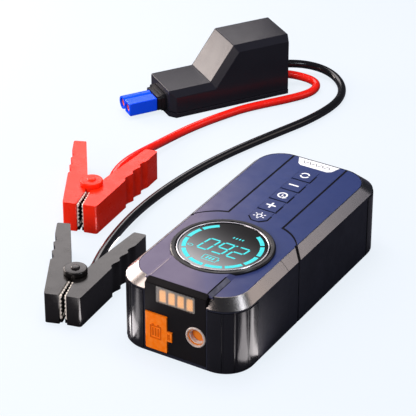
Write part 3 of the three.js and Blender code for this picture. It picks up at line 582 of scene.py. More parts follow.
FINISHES = {
    "navy_cover": dict(colour=(0.022, 0.038, 0.140), roughness=0.42, metallic=0.15, specular=0.30,
        blotch=0.04, grain=0.012, grain_scale=1600, wear_and_highlight=0.15, painted_light=painted_front_sheen),
    "dark_shell": dict(colour=(0.018, 0.019, 0.031), roughness=0.50, specular=0.25, grain=0.012,
        grain_scale=1800, wear_and_highlight=0.3),
    "gloss_trim": dict(colour=(0.012, 0.012, 0.016), roughness=0.20, specular=0.7, metallic=0.3,
        grain=0.002, wear_and_highlight=0.4, unevenness=0.02),
    "bezel_black": dict(colour=(0.009, 0.009, 0.011), roughness=0.32, specular=0.3, grain=0.002,
        wear_and_highlight=0.3),
    "edge_grey": dict(colour=(0.075, 0.076, 0.105), roughness=0.4, specular=0.4, blotch=0.2,
        grain=0.004, wear_and_highlight=0.5),
    # black stand-in pieces: painted shade in gaps, joints and behind other parts
    "painted_shade_black": dict(colour=(0.004, 0.004, 0.005), roughness=0.6, specular=0.1, blotch=0.2),
    "front_fascia": dict(colour=(0.009, 0.008, 0.009), roughness=0.35, specular=0.2, grain=0.005,
        wear_and_highlight=0.3),
    "silver_band": dict(colour=(0.45, 0.42, 0.41), roughness=0.27, metallic=1.0, blotch=0.02,
        grain=0.001, wear_and_highlight=0.03, unevenness=0.008, painted_light=painted_band_shade),
    "fitting_rim": dict(colour=(0.80, 0.68, 0.62), roughness=0.35, metallic=0.4, blotch=0.08,
        grain=0.003, wear_and_highlight=0.3),
    "display_chrome": dict(colour=(0.52, 0.52, 0.56), roughness=0.16, metallic=1.0, blotch=0.05,
        grain=0.001, wear_and_highlight=0.2),
    "display_glass": dict(colour=(0.006, 0.006, 0.007), roughness=0.20, specular=0.02, blotch=0.1,
        grain=0.0005, wear_and_highlight=0.1, unevenness=0.02, painted_light=painted_dial_glare),
    "flap_orange": dict(colour=(0.96, 0.175, 0.001), roughness=0.5, specular=0.08, blotch=0.05,
        grain=0.010, wear_and_highlight=0.3, wear_and_highlight_colour=(1.0, 0.42, 0.10)),
    # the raised marks are a darker orange: painted shade on the relief, with lighter edges as a painted
    # highlight
    "flap_relief_shaded": dict(colour=(0.64, 0.105, 0.001), roughness=0.5, specular=0.1, blotch=0.05,
        grain=0.006, wear_and_highlight=0.2, wear_and_highlight_colour=(0.9, 0.3, 0.05)),
    "socket_blue": dict(colour=(0.002, 0.075, 1.0), roughness=0.32, specular=0.25, blotch=0.06,
        grain=0.004, wear_and_highlight=0.5, wear_and_highlight_colour=(0.20, 0.40, 1.0)),
    "bare_steel": dict(BRUSHED, colour=(0.42, 0.43, 0.45), roughness=0.30, stretch=(1, 1, 8)),
    "brass": dict(BRUSHED, colour=(1.0, 0.48, 0.12), roughness=0.30, stretch=(1, 8, 1)),
    "thread_brass": dict(colour=(0.95, 0.28, 0.03), roughness=0.4, metallic=0.3, blotch=0.1, wear_and_highlight=0.6,
        wear_and_highlight_colour=(1.0, 0.7, 0.5)),
    "hose_rubber": dict(colour=(0.012, 0.012, 0.012), roughness=0.6, grain=0.02),
    "circuit_board": dict(colour=(0.02, 0.16, 0.06), roughness=0.45, blotch=0.25, grain=0.03,
        grain_scale=700),
    "cell_wrap": dict(colour=(0.30, 0.34, 0.40), roughness=0.4, metallic=0.6, blotch=0.1, grain=0.05,
        grain_scale=300),
    "clamp_red": dict(colour=(1.0, 0.022, 0.005), roughness=0.30, specular=0.27, blotch=0.06,
        grain=0.008, wear_and_highlight=0.25, wear_and_highlight_colour=(0.95, 0.16, 0.10)),
    "clamp_black": dict(colour=(0.006, 0.005, 0.005), roughness=0.25, specular=0.62, grain=0.005,
        wear_and_highlight=0.4, unevenness=0.03),
    "cable_red": dict(colour=(0.85, 0.012, 0.005), roughness=0.26, specular=0.5, coat=0.3, blotch=0.05,
        grain=0.002, wear_and_highlight=0.05),
    "cable_black": dict(colour=(0.007, 0.007, 0.009), roughness=0.20, specular=0.6, coat=0.3,
        grain=0.001, wear_and_highlight=0.05, unevenness=0.02),
    "jaw_copper": dict(colour=(0.98, 0.84, 0.76), roughness=0.38, metallic=0.25, blotch=0.10,
        grain=0.004, wear_and_highlight=0.5, wear_and_highlight_colour=(0.70, 0.36, 0.24)),
    # its light edge colour paints highlight lines along the module's bevels
    "module_black": dict(colour=(0.014, 0.014, 0.020), roughness=0.24, specular=0.24, blotch=0.05,
        grain=0.002, grain_scale=1400, wear_and_highlight=0.3, unevenness=0.02, wear_and_highlight_colour=(0.22, 0.21, 0.21)),
    "contact_red": dict(colour=(0.95, 0.13, 0.03), roughness=0.4, metallic=0.2, blotch=0.12),
    "label_white": dict(colour=(0.86, 0.87, 0.90), roughness=0.45, blotch=0.03, wear_and_highlight=0.1,
        wear_and_highlight_colour=(0.5, 0.5, 0.5)),
    "label_ink": dict(colour=(0.05, 0.05, 0.07), roughness=0.5),
    "lens_rib": dict(colour=(0.62, 0.58, 0.56), roughness=0.35, blotch=0.3),
}


def lens_material():
    """Moulded prismatic plastic: half clear, half frosted grey."""
    nodes = Nodes("lamp_glass")
    return nodes.finish({
        "Alpha": nodes.ramp(nodes.noise(1500, 3.0), 0.01, 0.05, *NOISE_SPAN),
        "Base Color": nodes.mix(nodes.noise(700, 2.0), (0.46, 0.44, 0.43), (0.70, 0.68, 0.66)),
        "Roughness": nodes.ramp(nodes.noise(400, 2.0), 0.12, 0.30, *NOISE_SPAN),
    })


MATERIALS = {name: surface(name, **finish) for name, finish in FINISHES.items()}
MATERIALS["lamp_glass"] = lens_material()
MATERIALS["display_cyan"] = glowing("display_cyan", (0.03, 0.86, 0.90), 1.0)
MATERIALS["lamp_amber"] = glowing("lamp_amber", (1.0, 0.42, 0.08), 1.15, (0.6, 0.3, 0.1))


def dress(obj, look, slot=None):
    obj.data.materials.clear()
    obj.data.materials.append(MATERIALS[look])
    slot or look


def piece(obj, look, *stands_for, body="pack", slot=None):
    """Gives a made object its finish and its body, and hides the CAD nodes it stands for."""
    dress(obj, look, slot)
    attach(obj, body)
    if stands_for:
        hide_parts(*stands_for)
    return obj


def merged(name, parts):
    """Separate shapes put into one mesh."""
    mesh = bpy.data.meshes.new(name)
    with mesh_edit(mesh) as work:
        for part in parts:
            work.from_mesh(part.data)
            bpy.data.objects.remove(part)
    return new_object(name, mesh)


# ---- pack: casing


def screw_spots():
    return [middle(f"case_screw_{index}") for index in (1, 2, 3, 4)]


def trim_recess(region):
    """The shallow step in the casing wall that a trim sits in."""
    low, high = TRIM_LOW.z - GAP, TRIM_HIGH.z + GAP
    ring = cut(pack_block("ring", 5, low, high), pack_block("core", -TRIM_DEPTH - GAP, 0, ABOVE))
    return keep(ring, region)


def usb_opening():
    low, high = span("usb_socket")
    return block(low.x - GAP, high.x + GAP, 80, FAR, low.z - GAP, high.z + GAP)


def housing():
    rings = []
    for step in range(6):
        angle = math.radians(90 * step / 5)
        inset = FOOT * (1 - math.sin(angle))
        z = FOOT * (1 - math.cos(angle))
        rings.append(rounded(HALF_X - inset, HALF_Y - inset, CORNER - inset, z))
    rings.append(rounded(HALF_X, HALF_Y, CORNER, SHELL_TOP))
    shell = cut(loft("housing", rings), pack_block("hollow", -WALL, FLOOR, FAR))
    side = TRIM_LOW.x - GAP
    edge = TRIM_HIGH.y + GAP
    panel = PANEL_HIGH.x + 0.25
    recesses = [
        trim_recess(block(side, FAR, -FAR, edge, 0, ABOVE)),
        trim_recess(block(-FAR, -side, -FAR, edge, 0, ABOVE)),
        trim_recess(block(-FAR, FAR, CAP_LOW.y - GAP, FAR, 0, ABOVE)),
        block(-panel, panel, -FAR, -HALF_Y + WALL + 1, PANEL_LOW.z - 0.25, ABOVE),
        usb_opening(),
    ]
    for spot in screw_spots():
        join(shell, upright(spot, *SCREW_BOSS, SCREW_STEPS))
    for spot in screw_spots():
        for size in (SCREW_HEAD, SCREW_SHANK):
            recesses.append(upright(spot, *size, SCREW_STEPS))
    return cut(shell, *recesses)


def build_housings():
    whole = housing()
    rear = copy_of(whole, "rear_housing_shell")
    cut(rear, block(-FAR, FAR, -FAR, SEAM_Y + SEAM_HALF, -FAR, FAR))
    front = keep(whole, block(-FAR, FAR, -FAR, SEAM_Y - SEAM_HALF, -FAR, FAR))
    front.name = "front_housing_shell"
    # a shallow step down the side walls, ahead of the joint
    for x in (-HALF_X, HALF_X):
        cut(front, block(x - 0.25, x + 0.25, SEAM_Y - STEP_BACK, SEAM_Y + 1, -1, ABOVE))
    piece(soften(front, 0.2, 2), "dark_shell", "front_housing")
    piece(soften(rear, 0.2, 2), "dark_shell", "rear_housing")


def bevel_block(name, depth, above):
    """The bevelled band's outer form, moved inwards by depth and carried on above its top."""
    low, high = RIM_LOW.z, TOP_Z
    top = (HALF_X - RIM_INSET - depth, HALF_Y - RIM_INSET - depth, RIM_CORNER - depth)
    foot = (HALF_X - depth, HALF_Y - depth, CORNER - depth)
    return loft(name, [rounded(*foot, low), rounded(*top, high), rounded(*top, high + above)])


def seam_slashes(half):
    """The joint line across the bevelled band, slanting forwards as it goes out, on both sides."""
    inner, outer = (36.5, SEAM_Y + 6.6), (44.5, SEAM_Y - 1.4)
    right = prism("slash", bar(*inner, *outer, 2 * half), RIM_LOW.z - 1, ABOVE)
    return join(right, mirrored(right, "slash"))


def build_rim():
    band = bevel_block("rim_band_bevel", 0, 0.05)
    cover_x, cover_y = -COVER_LOW.x + GAP, COVER_HIGH.y + GAP
    corner = COVER_CORNER + GAP
    hollow = loft("hollow", [
        rounded(HALF_X - WALL, HALF_Y - WALL, CORNER - WALL, RIM_LOW.z - 1),
        rounded(HALF_X - WALL, HALF_Y - WALL, CORNER - WALL, RIM_LOW.z + 0.4),
        rounded(cover_x, cover_y, corner, 48.6),
        rounded(cover_x, cover_y, corner, TOP_Z + 1),
    ])
    core = bevel_block("core", 1.4, 1)
    cut(band, hollow, block(-21.4, 21.4, -FAR, -80, 0, ABOVE))
    # a black fill in the joint line across the band: painted shade in the gap
    seam_shade = keep(bevel_block("seam_shade_fill", 0.12, 0), seam_slashes(1.0))
    cut(band, cut(seam_slashes(1.05), copy_of(core, "core")))
    step_y = SEAM_Y - STEP_BACK
    step = cut(block(-FAR, FAR, step_y - 0.25, step_y + 0.25, 0, ABOVE),
               bevel_block("core", 0.25, 1))
    cut(band, step)
    piece(cut(seam_shade, core), "painted_shade_black", slot="silver_band")
    piece(soften(band, 0.25, 3), "silver_band", "rim_band")


def trim_wall():
    wall = pack_block("wall", TRIM_PROUD, TRIM_LOW.z, TRIM_HIGH.z)
    return cut(wall, pack_block("core", -TRIM_DEPTH, 0, ABOVE))


def flute(degrees, radius, depth):
    """An upright channel in the rounded front right corner."""
    reach = CORNER + TRIM_PROUD + radius - depth
    angle = math.radians(-degrees)
    x = HALF_X - CORNER + reach * math.cos(angle)
    y = -HALF_Y + CORNER + reach * math.sin(angle)
    return rod(radius, "Z", (x, y, 0), -1, 60, 24)


def build_trims():
    wall = trim_wall()
    right = copy_of(wall, "corner_trim_fluted_right")
    keep(right, block(TRIM_LOW.x, FAR, -FAR, TRIM_HIGH.y, -1, ABOVE))
    for degrees, radius, depth in FLUTES:
        cut(right, flute(degrees, radius, depth))
    soften(right, 0.3, 3, angle=34)
    left = mirrored(right, "corner_trim_fluted_left")
    piece(right, "gloss_trim", "corner_trim_right")
    piece(left, "gloss_trim", "corner_trim_left")
    cap = keep(wall, block(-FAR, FAR, CAP_LOW.y, FAR, -1, ABOVE))
    cap.name = "rear_cap"
    cut(cap, usb_opening())
    piece(soften(cap, 0.25, 3, angle=34), "gloss_trim", "rear_end_cap")


# ---- pack: covers and keys


def curve_points(a, b, c, steps=12):
    """A quadratic curve from a to c, pulled towards b."""
    points = []
    for step in range(steps + 1):
        t = step / steps
        s = 1 - t
        points.append(tuple(s * s * p + 2 * s * t * q + t * t * r for p, q, r in zip(a, b, c)))
    return points


def wing_outline(side, front):
    """Outline of the right wing, widened by side at the groove and front at its front edge."""
    inner = STRIP_HALF - side
    curve = curve_points((inner, 2.2 - front), (31, -1 - front), (38.5, -13.5 - front))
    return [(inner, FAR), *curve, (60, -13.5 - front), (60, FAR)]


def cover_plate(name):
    low, high = COVER_LOW.z, COVER_HIGH.z
    half_x, half_y = -COVER_LOW.x, COVER_HIGH.y
    return loft(name, [rounded(half_x, half_y, COVER_CORNER, z) for z in (low, high)])


def tongue():
    """The raised deck from the dial to the front edge."""
    outline = [(-NOSE_FOOT, DECK_Z), (NOSE_FOOT, DECK_Z), (NOSE_HALF, 52), (-NOSE_HALF, 52)]
    return prism_y("tongue", outline, -88.9, DIAL.y - 20)


def key_outline(low, high, grow, first):
    """A key's outline, grown to its left, right, front and rear; the first has cut corners."""
    left, right, front, rear = grow
    x0, x1 = low.x - left, high.x + right
    y0, y1 = low.y - front, high.y + rear
    if not first:
        return rectangle(x0, x1, y0, y1)
    return [(x0, y0 + KEY_CORNER), (x0 + KEY_CORNER, y0), (x1 - KEY_CORNER, y0),
            (x1, y0 + KEY_CORNER), (x1, y1), (x0, y1)]


def key_pocket(name):
    """A key's hole: a hairline all round, wider along its front and most of its right side."""
    low, high = span(name)
    first = name == KEY_NAMES[0]
    hairline = prism("pocket", key_outline(low, high, (0.15, 0.15, 0.15, 0.15), first), *CUT)
    reach = high.copy()
    reach.y = low.y + 0.68 * (high.y - low.y)
    wide = prism("pocket", key_outline(low, reach, (0.3, 1.05, 1.05, 0), first), *CUT)
    return join(hairline, wide)


def build_cover():
    panel = cover_plate("control_cover")
    join(panel, tongue())
    wing = prism("wing", wing_outline(0.75, 0.95), *CUT)
    other = mirrored(wing, "wing")
    cut(panel, wing, other, upright(DIAL, DIAL_WELL, *CUT), upright(DIAL, DIAL_STEP, TOP_Z, ABOVE))
    cut(panel, *[key_pocket(name) for name in KEY_NAMES])
    piece(soften(panel, 0.12, 2), "navy_cover", "control_panel")

    right = cover_plate("wing_cover_right")
    keep(right, prism("wing", wing_outline(-0.75, -0.55), *CUT))
    soften(right, 0.3, 4)
    left = mirrored(right, "wing_cover_left")
    piece(right, "navy_cover", "right_wing")
    piece(left, "navy_cover", "left_wing")


def build_gaps():
    """Dark webs that fill the grooves beside the covers and round the keys, as painted shade in the
    gaps.
    """
    low, high = COVER_LOW.z, COVER_HIGH.z - 0.15
    right = keep(cover_plate("groove_web_right"), slab(low, high))
    keep(right, prism("wing", wing_outline(0.72, 0.92), *CUT))
    cut(right, prism("wing", wing_outline(-0.72, -0.52), *CUT), upright(DIAL, DIAL_STEP + 0.1, *CUT))
    left = mirrored(right, "groove_web_left")
    piece(right, "painted_shade_black", slot="navy_cover")
    piece(left, "painted_shade_black", slot="navy_cover")
    for name in KEY_NAMES:
        web = keep(key_pocket(name), slab(low, high + 0.05))
        outline = key_outline(*span(name), (0.1, 0.1, 0.1, 0.1), name == KEY_NAMES[0])
        cut(web, prism("key", outline, *CUT))
        web.name = name + "_web"
        piece(web, "painted_shade_black", slot="navy_cover")


def tongue_strip(name, inner, outer, lift):
    """A thin strip down the tongue's sloping side, from inner to outer in share of the slope."""
    wide = NOSE_FOOT - NOSE_HALF
    tall = NOSE_HIGH.z - DECK_Z
    ends = [(NOSE_HALF + wide * share, NOSE_HIGH.z - tall * share) for share in (inner, outer)]
    section = [(x, z - 0.3) for x, z in ends] + [(x, z + lift) for x, z in ends[::-1]]
    return prism_y(name, section, -88.7, DIAL.y - 30)


def build_tongue_edges():
    """A grey strip with black borders on the tongue's right slope and a pale line on its left: the
    borders are painted shade in the joints, the pale line a painted highlight on the edge.
    """
    piece(tongue_strip("tongue_shade_border", -0.06, 0.98, 0.05), "painted_shade_black", slot="navy_cover")
    piece(tongue_strip("tongue_edge", 0.12, 0.78, 0.12), "edge_grey", slot="navy_cover")
    # the pale line is a painted highlight along the tongue's left edge
    line = tongue_strip("tongue_highlight_line", -0.04, 0.06, 0.05)
    piece(flipped(line), "fitting_rim", slot="navy_cover")


def build_lip():
    """The dark sloping edge under the tongue's front."""
    low = COVER_LOW.z
    lip = prism_x("front_lip", [
        (-88.5, low), (-88.5, 51.9), (-89.2, 51.9), (NOSE_LOW.y, 49.6), (-90.2, 49.6), (-90.2, low),
    ], -LIP_HALF, LIP_HALF)
    keep(lip, prism_y("front", [
        (-LIP_HALF, 40), (LIP_HALF, 40), (LIP_HALF, 51.2), (NOSE_HALF, 51.95),
        (-NOSE_HALF, 51.95), (-LIP_HALF, 51.2),
    ], -95, -85))
    piece(soften(lip, 0.3, 3), "front_fascia")


def build_keys():
    for name in KEY_NAMES:
        low, high = span(name)
        outline = key_outline(low, high, (0, 0, 0, 0), name == KEY_NAMES[0])
        key = prism(name + "_cap", outline, low.z, high.z)
        piece(soften(key, 0.14, 2), "navy_cover", name, body=name)


# ---- flat graphics


def bar(x0, y0, x1, y1, width):
    """Outline of a straight stroke."""
    start, end = Vector((x0, y0)), Vector((x1, y1))
    side = (end - start).normalized().orthogonal() * width / 2
    return [tuple(start - side), tuple(end - side), tuple(end + side), tuple(start + side)]


def arc(x, y, inner, outer, start, end, squash=1.0):
    """Outline of a curved stroke between two angles in degrees."""
    steps = max(2, round(abs(end - start) / 6))
    angles = [math.radians(start + (end - start) * step / steps) for step in range(steps + 1)]
    far = [(x + outer * math.cos(a), y + squash * outer * math.sin(a)) for a in angles]
    near = [(x + inner * math.cos(a), y + squash * inner * math.sin(a)) for a in angles]
    return far + near[::-1]


def graphic(name, outlines, z, thickness=0.08):
    """Printed or lit marks: thin raised shapes on a face at height z."""
    return merged(name, [prism("mark", outline, z - 0.03, z + thickness) for outline in outlines])


def light_icon(x, y):
    strokes = [arc(x, y, 1.25, 1.95, -60, 240)]
    strokes.append(bar(x - 0.95, y - 2.35, x + 0.95, y - 2.35, 0.6))
    strokes.append(bar(x - 0.6, y - 3.3, x + 0.6, y - 3.3, 0.55))
    for degrees in (-20, 30, 90, 150, 200):
        c, s = math.cos(math.radians(degrees)), math.sin(math.radians(degrees))
        strokes.append(bar(x + 2.7 * c, y + 2.7 * s, x + 4.1 * c, y + 4.1 * s, 0.7))
    return strokes


def plus_icon(x, y):
    long, half = 3.3, 0.62
    return [[
        (x - long, y - half), (x - half, y - half), (x - half, y - long), (x + half, y - long),
        (x + half, y - half), (x + long, y - half), (x + long, y + half), (x + half, y + half),
        (x + half, y + long), (x - half, y + long), (x - half, y + half), (x - long, y + half),
    ]]


def power_icon(x, y):
    head = [(x + 1.5, y - 3.9), (x + 4.0, y - 2.0), (x + 1.1, y - 0.9)]
    return [arc(x, y, 2.3, 3.4, -20, 285), head, bar(x, y + 0.9, x, y - 1.2, 1.0)]


def minus_icon(x, y):
    return [bar(x - 3.5, y, x + 3.5, y, 1.25)]


def mode_icon(x, y):
    return [arc(x, y, 2.2, 3.3, 20, 170), arc(x, y, 2.2, 3.3, 200, 350)]


def build_icons():
    icons = [light_icon, plus_icon, power_icon, minus_icon, mode_icon]
    for name, icon in zip(KEY_NAMES, icons):
        low, high = span(name)
        centre = (low + high) / 2
        mark = graphic(name + "_icon", icon(centre.x - 0.4, centre.y - 0.2), high.z)
        piece(mark, "label_white", body=name, slot="navy_cover")


def build_label():
    """A blank white plate with a row of plain strokes at the rear of the strip."""
    back = COVER_HIGH.y - 0.4
    front = back - 8.6
    outline = [(-15.5, back), (-12.4, front + 1.9), (-10, front), (9.6, front),
               (12.2, front + 1.9), (14.5, back)]
    plate = prism("label_plate", outline, TOP_Z - 0.05, TOP_Z + 0.18)
    piece(soften(plate, 0.06, 2), "label_white", slot="navy_cover")
    strokes = []
    for index in range(9):
        x = -9.6 + index * 2.3
        lean = 0.8 if index % 2 else -0.8
        strokes.append(bar(x - lean, back - 5.4, x + lean, back - 2.4, 0.55))
    piece(graphic("label_strokes", strokes, TOP_Z + 0.18, 0.05), "label_ink",
          slot="navy_cover")


# ---- pack: display


def digit(symbol, x, y):
    """Seven-segment strokes of one digit, slanted; x and y are its lower left corner."""
    width, height, inset = DIGIT["width"], DIGIT["height"], DIGIT["inset"]
    half = height / 2
    ends = {
        "a": (inset, height, width - inset, height),
        "b": (width, height - inset, width, half + inset),
        "c": (width, half - inset, width, inset),
        "d": (inset, 0, width - inset, 0),
        "e": (0, half - inset, 0, inset),
        "f": (0, height - inset, 0, half + inset),
        "g": (inset, half, width - inset, half),
    }
    strokes = []
    for name in SEGMENTS[symbol]:
        outline = bar(*ends[name], DIGIT["stroke"])
        strokes.append([(x + px + LEAN_OF_MARKS * py, y + py) for px, py in outline])
    return strokes


def build_display():
    place = (DIAL.x, DIAL.y, 0)
    low, high = BEZEL_LOW.z, BEZEL_HIGH.z
    bezel = turned("bezel_ring", [
        (28.9, low), (30.6, low), (30.6, 50.1), (32.3, 50.1), (32.3, high - 0.8),
        (31.5, high), (29.5, high - 0.1), (28.9, high - 0.7),
    ], "Z", place, RING_STEPS)
    piece(soften(bezel, 0.2, 3, angle=20), "bezel_black", "display_bezel", slot="gloss_trim")
    rim = turned("chrome_ring", [
        (27.5, 50), (28.6, 50), (28.6, 51.6), (28.3, 51.9), (27.8, 51.9), (27.5, 51.5),
    ], "Z", place, RING_STEPS)
    piece(soften(rim, 0.12, 3, angle=20), "display_chrome", "display_rim")
    glass = spindle("dial_glass", [(27.3, 50.1), (27.3, DIAL_TOP - 0.15), (27.1, DIAL_TOP)],
                    "Z", place, RING_STEPS)
    shade(glass, 20)
    piece(glass, "display_glass", "display_lens")


def dial_marks():
    x, y = DIAL.x, DIAL.y
    marks = []
    for index in range(10):
        centre = 138.5 + index * 29.6
        marks.append(arc(x, y, 22.7, 25.4, centre - 12.8, centre + 12.8))
    return marks


def battery_marks(x, y):
    """A battery outline with three charge bars."""
    w, h, t = 5.0, 2.6, 0.45
    marks = [
        bar(x - w, y - h, x + w, y - h, t), bar(x - w, y + h, x + w, y + h, t),
        bar(x - w, y - h + t, x - w, y + h - t, t), bar(x + w, y - h + t, x + w, y + h - t, t),
        bar(x + w + 0.8, y - 0.9, x + w + 0.8, y + 0.9, 0.6),
    ]
    for step in (-1, 0, 1):
        marks.append(bar(x + 2.1 * step - 0.3, y - 1.3, x + 2.1 * step + 0.3, y + 1.3, 1.1))
    return marks


def small_marks(x, y):
    return [bar(x + 2.1 * i, y - 0.8, x + 2.1 * i + 0.4, y + 0.8, 0.9) for i in range(4)]


def build_dial_marks():
    x, y = DIAL.x, DIAL.y
    marks = dial_marks()
    for symbol, offset in (("0", -13.6), ("9", -3.4), ("2", 7.0)):
        marks += digit(symbol, x + offset, y - 8.6)
    marks.append(bar(x + 6.9, y + 4.4, x + 8.1, y + 4.4, 1.1))
    marks += battery_marks(x + 0.3, y - 15.8)
    marks += small_marks(x + 0.6, y + 12.0)
    marks.append(arc(x - 18.3, y - 8.2, 1.5, 2.0, 0, 175, 0.6))
    marks.append(arc(x - 18.3, y - 8.2, 1.5, 2.0, 180, 355, 0.6))
    piece(graphic("dial_marks", marks, DIAL_TOP, 0.05), "display_cyan", slot="display_glass")


# ---- pack: front panel


def build_front_panel():
    flap_low, flap_high = span("port_flap")
    lamp_low, lamp_high = span("lamp_lens")
    outlet = middle("air_fitting")
    socket = middle("output_socket")
    behind = flap_high.y + GAP
    plate = block(PANEL_LOW.x, PANEL_HIGH.x, PANEL_LOW.y, PANEL_HIGH.y, PANEL_LOW.z, PANEL_HIGH.z)
    plate.name = "fascia"
    tab_low, tab_high = TAB_Z
    cut(
        plate,
        block(-30, flap_high.x - TAB_REACH + GAP, -FAR, behind, flap_low.z - GAP, flap_high.z + GAP),
        block(-10, flap_high.x + GAP, -FAR, behind, tab_low - GAP, tab_high + GAP),
        block(socket.x - 7, socket.x + 7, -FAR, -80, socket.z - 10, socket.z + 10),
        block(lamp_low.x - 0.2, lamp_high.x + 0.2, -FAR, -80, lamp_low.z - 0.2, lamp_high.z + 0.2),
        rod(OUTLET_FLANGE + 0.2, "Y", (outlet.x, 0, OUTLET_Z), -FAR, -80),
    )
    piece(soften(plate, 0.25, 3), "front_fascia", "front_panel")


def lens_ribs(low, high, y):
    """Crossed diagonal ribs over a lens window, each a thin bar cut to the window."""
    ribs = []
    rise = high.z - low.z
    count = round((high.x - low.x + rise) / RIB_PITCH)
    for index in range(count):
        foot = low.x - rise + (index + 0.5) * RIB_PITCH
        for slope in (1, -1):
            start = max(foot, low.x)
            end = min(foot + rise, high.x)
            heights = [x - foot if slope > 0 else rise - x + foot for x in (start, end)]
            ends = [(start, low.z + heights[0]), (end, low.z + heights[1])]
            if end - start > RIB_WIDTH:
                ribs.append(prism_y("rib", bar(*ends[0], *ends[1], RIB_WIDTH), y - 0.2, y + 0.1))
    return ribs


def build_lamp():
    """A frosted lens crossed by diagonal ribs, with emitters and a black reflector behind it as painted
    shade inside the lamp.
    """
    low, high = span("lamp_lens")
    front = low.y + 0.45
    lens = block(low.x, high.x, front, front + 0.5, low.z, high.z)
    lens.name = "lamp_lens_plate"
    piece(soften(lens, 0.1, 2), "lamp_glass", "lamp_lens")
    piece(merged("lamp_lens_ribs", lens_ribs(low, high, front)), "lens_rib",
          slot="lamp_glass")
    # black behind the lens: painted shade inside the lamp
    reflector = block(low.x, high.x, front + 1.1, front + 1.4, low.z, high.z)
    reflector.name = "lamp_reflector"
    piece(soften(reflector, 0.1, 2), "painted_shade_black", slot="lamp_glass")
    chips = []
    for index in range(4):
        x = (low.x + high.x) / 2 + (index - 1.5) * CHIP_PITCH
        chips.append(block(x - CHIP_HALF, x + CHIP_HALF, front + 0.7, front + 1.2, *CHIP_Z))
    piece(merged("lamp_chips", chips), "lamp_amber")
    dress(frame["nodes"]["lamp_board"], "circuit_board", "lamp_amber")


def flap_icon(x, z):
    """A plain battery: a box with two posts and three bars."""
    w, h = 3.9, 4.6
    marks = [
        rectangle(x - w, x - w + 0.7, z - h, z + h), rectangle(x + w - 0.7, x + w, z - h, z + h),
        rectangle(x - w + 0.7, x + w - 0.7, z - h, z - h + 0.7),
        rectangle(x - w + 0.7, x + w - 0.7, z + h - 0.7, z + h),
        rectangle(x - 2.6, x - 1.1, z + h, z + h + 1.1), rectangle(x + 1.1, x + 2.6, z + h, z + h + 1.1),
    ]
    for step in (-1, 0, 1):
        marks.append(rectangle(x + 1.9 * step - 0.45, x + 1.9 * step + 0.45, z - 2.8, z + 2.8))
    return marks


def build_flap():
    low, high = span("port_flap")
    thick = high.y - low.y
    hinge = joint_place("flap_hinge")
    leaf = block(hinge.x, high.x - TAB_REACH, low.y, high.y, low.z, high.z)
    leaf.name = "flap_leaf"
    tab = block(high.x - TAB_REACH - 1, high.x, low.y, high.y, *TAB_Z)
    join(leaf, tab, rod(thick / 2, "Z", (hinge.x, hinge.y, 0), low.z, high.z, 32))
    soften(leaf, 0.35, 4)
    centre_x, centre_z = (low.x + high.x - TAB_REACH) / 2, (low.z + high.z) / 2
    marks = [prism_y("mark", outline, low.y - 0.35, low.y + 0.1)
             for outline in flap_icon(centre_x, centre_z)]
    marks += [prism_y("rib", rectangle(x, x + 0.5, TAB_Z[0] + 1.2, TAB_Z[1] - 1.2),
                      low.y - 0.3, low.y + 0.1)
              for x in (high.x - 2.9, high.x - 1.9)]
    # the marks take the darker orange: painted shade on the relief
    raised = merged("flap_relief_shaded", marks)
    piece(soften(raised, 0.1, 2), "flap_relief_shaded", body="port_flap", slot="flap_orange")
    piece(leaf, "flap_orange", "port_flap", body="port_flap")


def thread(name, x, z, y0, y1):
    """A helical ridge on the inside of a bore that runs along Y."""
    radius, pitch, steps = THREAD["radius"], THREAD["pitch"], THREAD["steps"]
    crest = radius - THREAD["depth"]
    root = radius + 0.15
    section = [(root, -0.4 * pitch), (crest, -0.08 * pitch), (crest, 0.08 * pitch),
               (root, 0.4 * pitch)]
    rings = []
    for i in range(round((y1 - y0) / pitch * steps) + 1):
        angle = i / steps * math.tau
        y = y0 + i / steps * pitch
        c, s = math.cos(angle), math.sin(angle)
        rings.append([(x + r * c, y + h, z + r * s) for r, h in section])
    return loft(name, rings)


def build_fitting():
    x, z = middle("air_fitting").x, OUTLET_Z
    front, back = OUTLET_LOW.y, OUTLET_HIGH.y
    place = (x, 0, z)
    rim = turned("fitting_flange", [
        (5.5, front + 0.9), (5.8, front), (6.5, front), (OUTLET_FLANGE, front + 0.5),
        (OUTLET_FLANGE, front + 3.4), (5.5, front + 3.4),
    ], "Y", place, 96)
    piece(soften(rim, 0.15, 2, angle=20), "fitting_rim", slot="brass")
    step = front + 6.5
    body = spindle("fitting_body", [(5.45, front + 1.0), (5.45, step), (4.85, step + 0.5),
                                    (4.85, back)], "Y", place, 64)
    cut(body, rod(THREAD["radius"], "Y", place, front - 1, front + 5.2))
    nipple = rod(1.6, "Z", (x, back - 1.7, 0), z + 3.9, OUTLET_HIGH.z, 32)
    join(body, nipple)
    piece(soften(body, 0.1, 2), "thread_brass", "air_fitting", slot="brass")
    ridge = thread("fitting_thread", x, z, front + 1.5, front + 4.8)
    shade(ridge, 30)
    piece(ridge, "fitting_rim", slot="brass")


# ---- lead set: module


def module_axes():
    """Origin and heading of the module's own axes, from two contacts and its board."""
    across = middle("plug_contact_left") - middle("plug_contact_right")
    heading = math.atan2(across.y, across.x) - math.pi / 2
    along = Vector((math.cos(heading), math.sin(heading), 0))
    origin = middle("module_board") - along * MODULE_BOARD_X
    return Vector((origin.x, origin.y, 0)), math.degrees(heading)


MODULE_ORIGIN, MODULE_HEADING = module_axes()


def placed(obj, origin, degrees):
    turn = Matrix.Rotation(math.radians(degrees), 4, "Z")
    obj.data.transform(Matrix.Translation(Vector(origin) * MM) @ turn)
    return obj


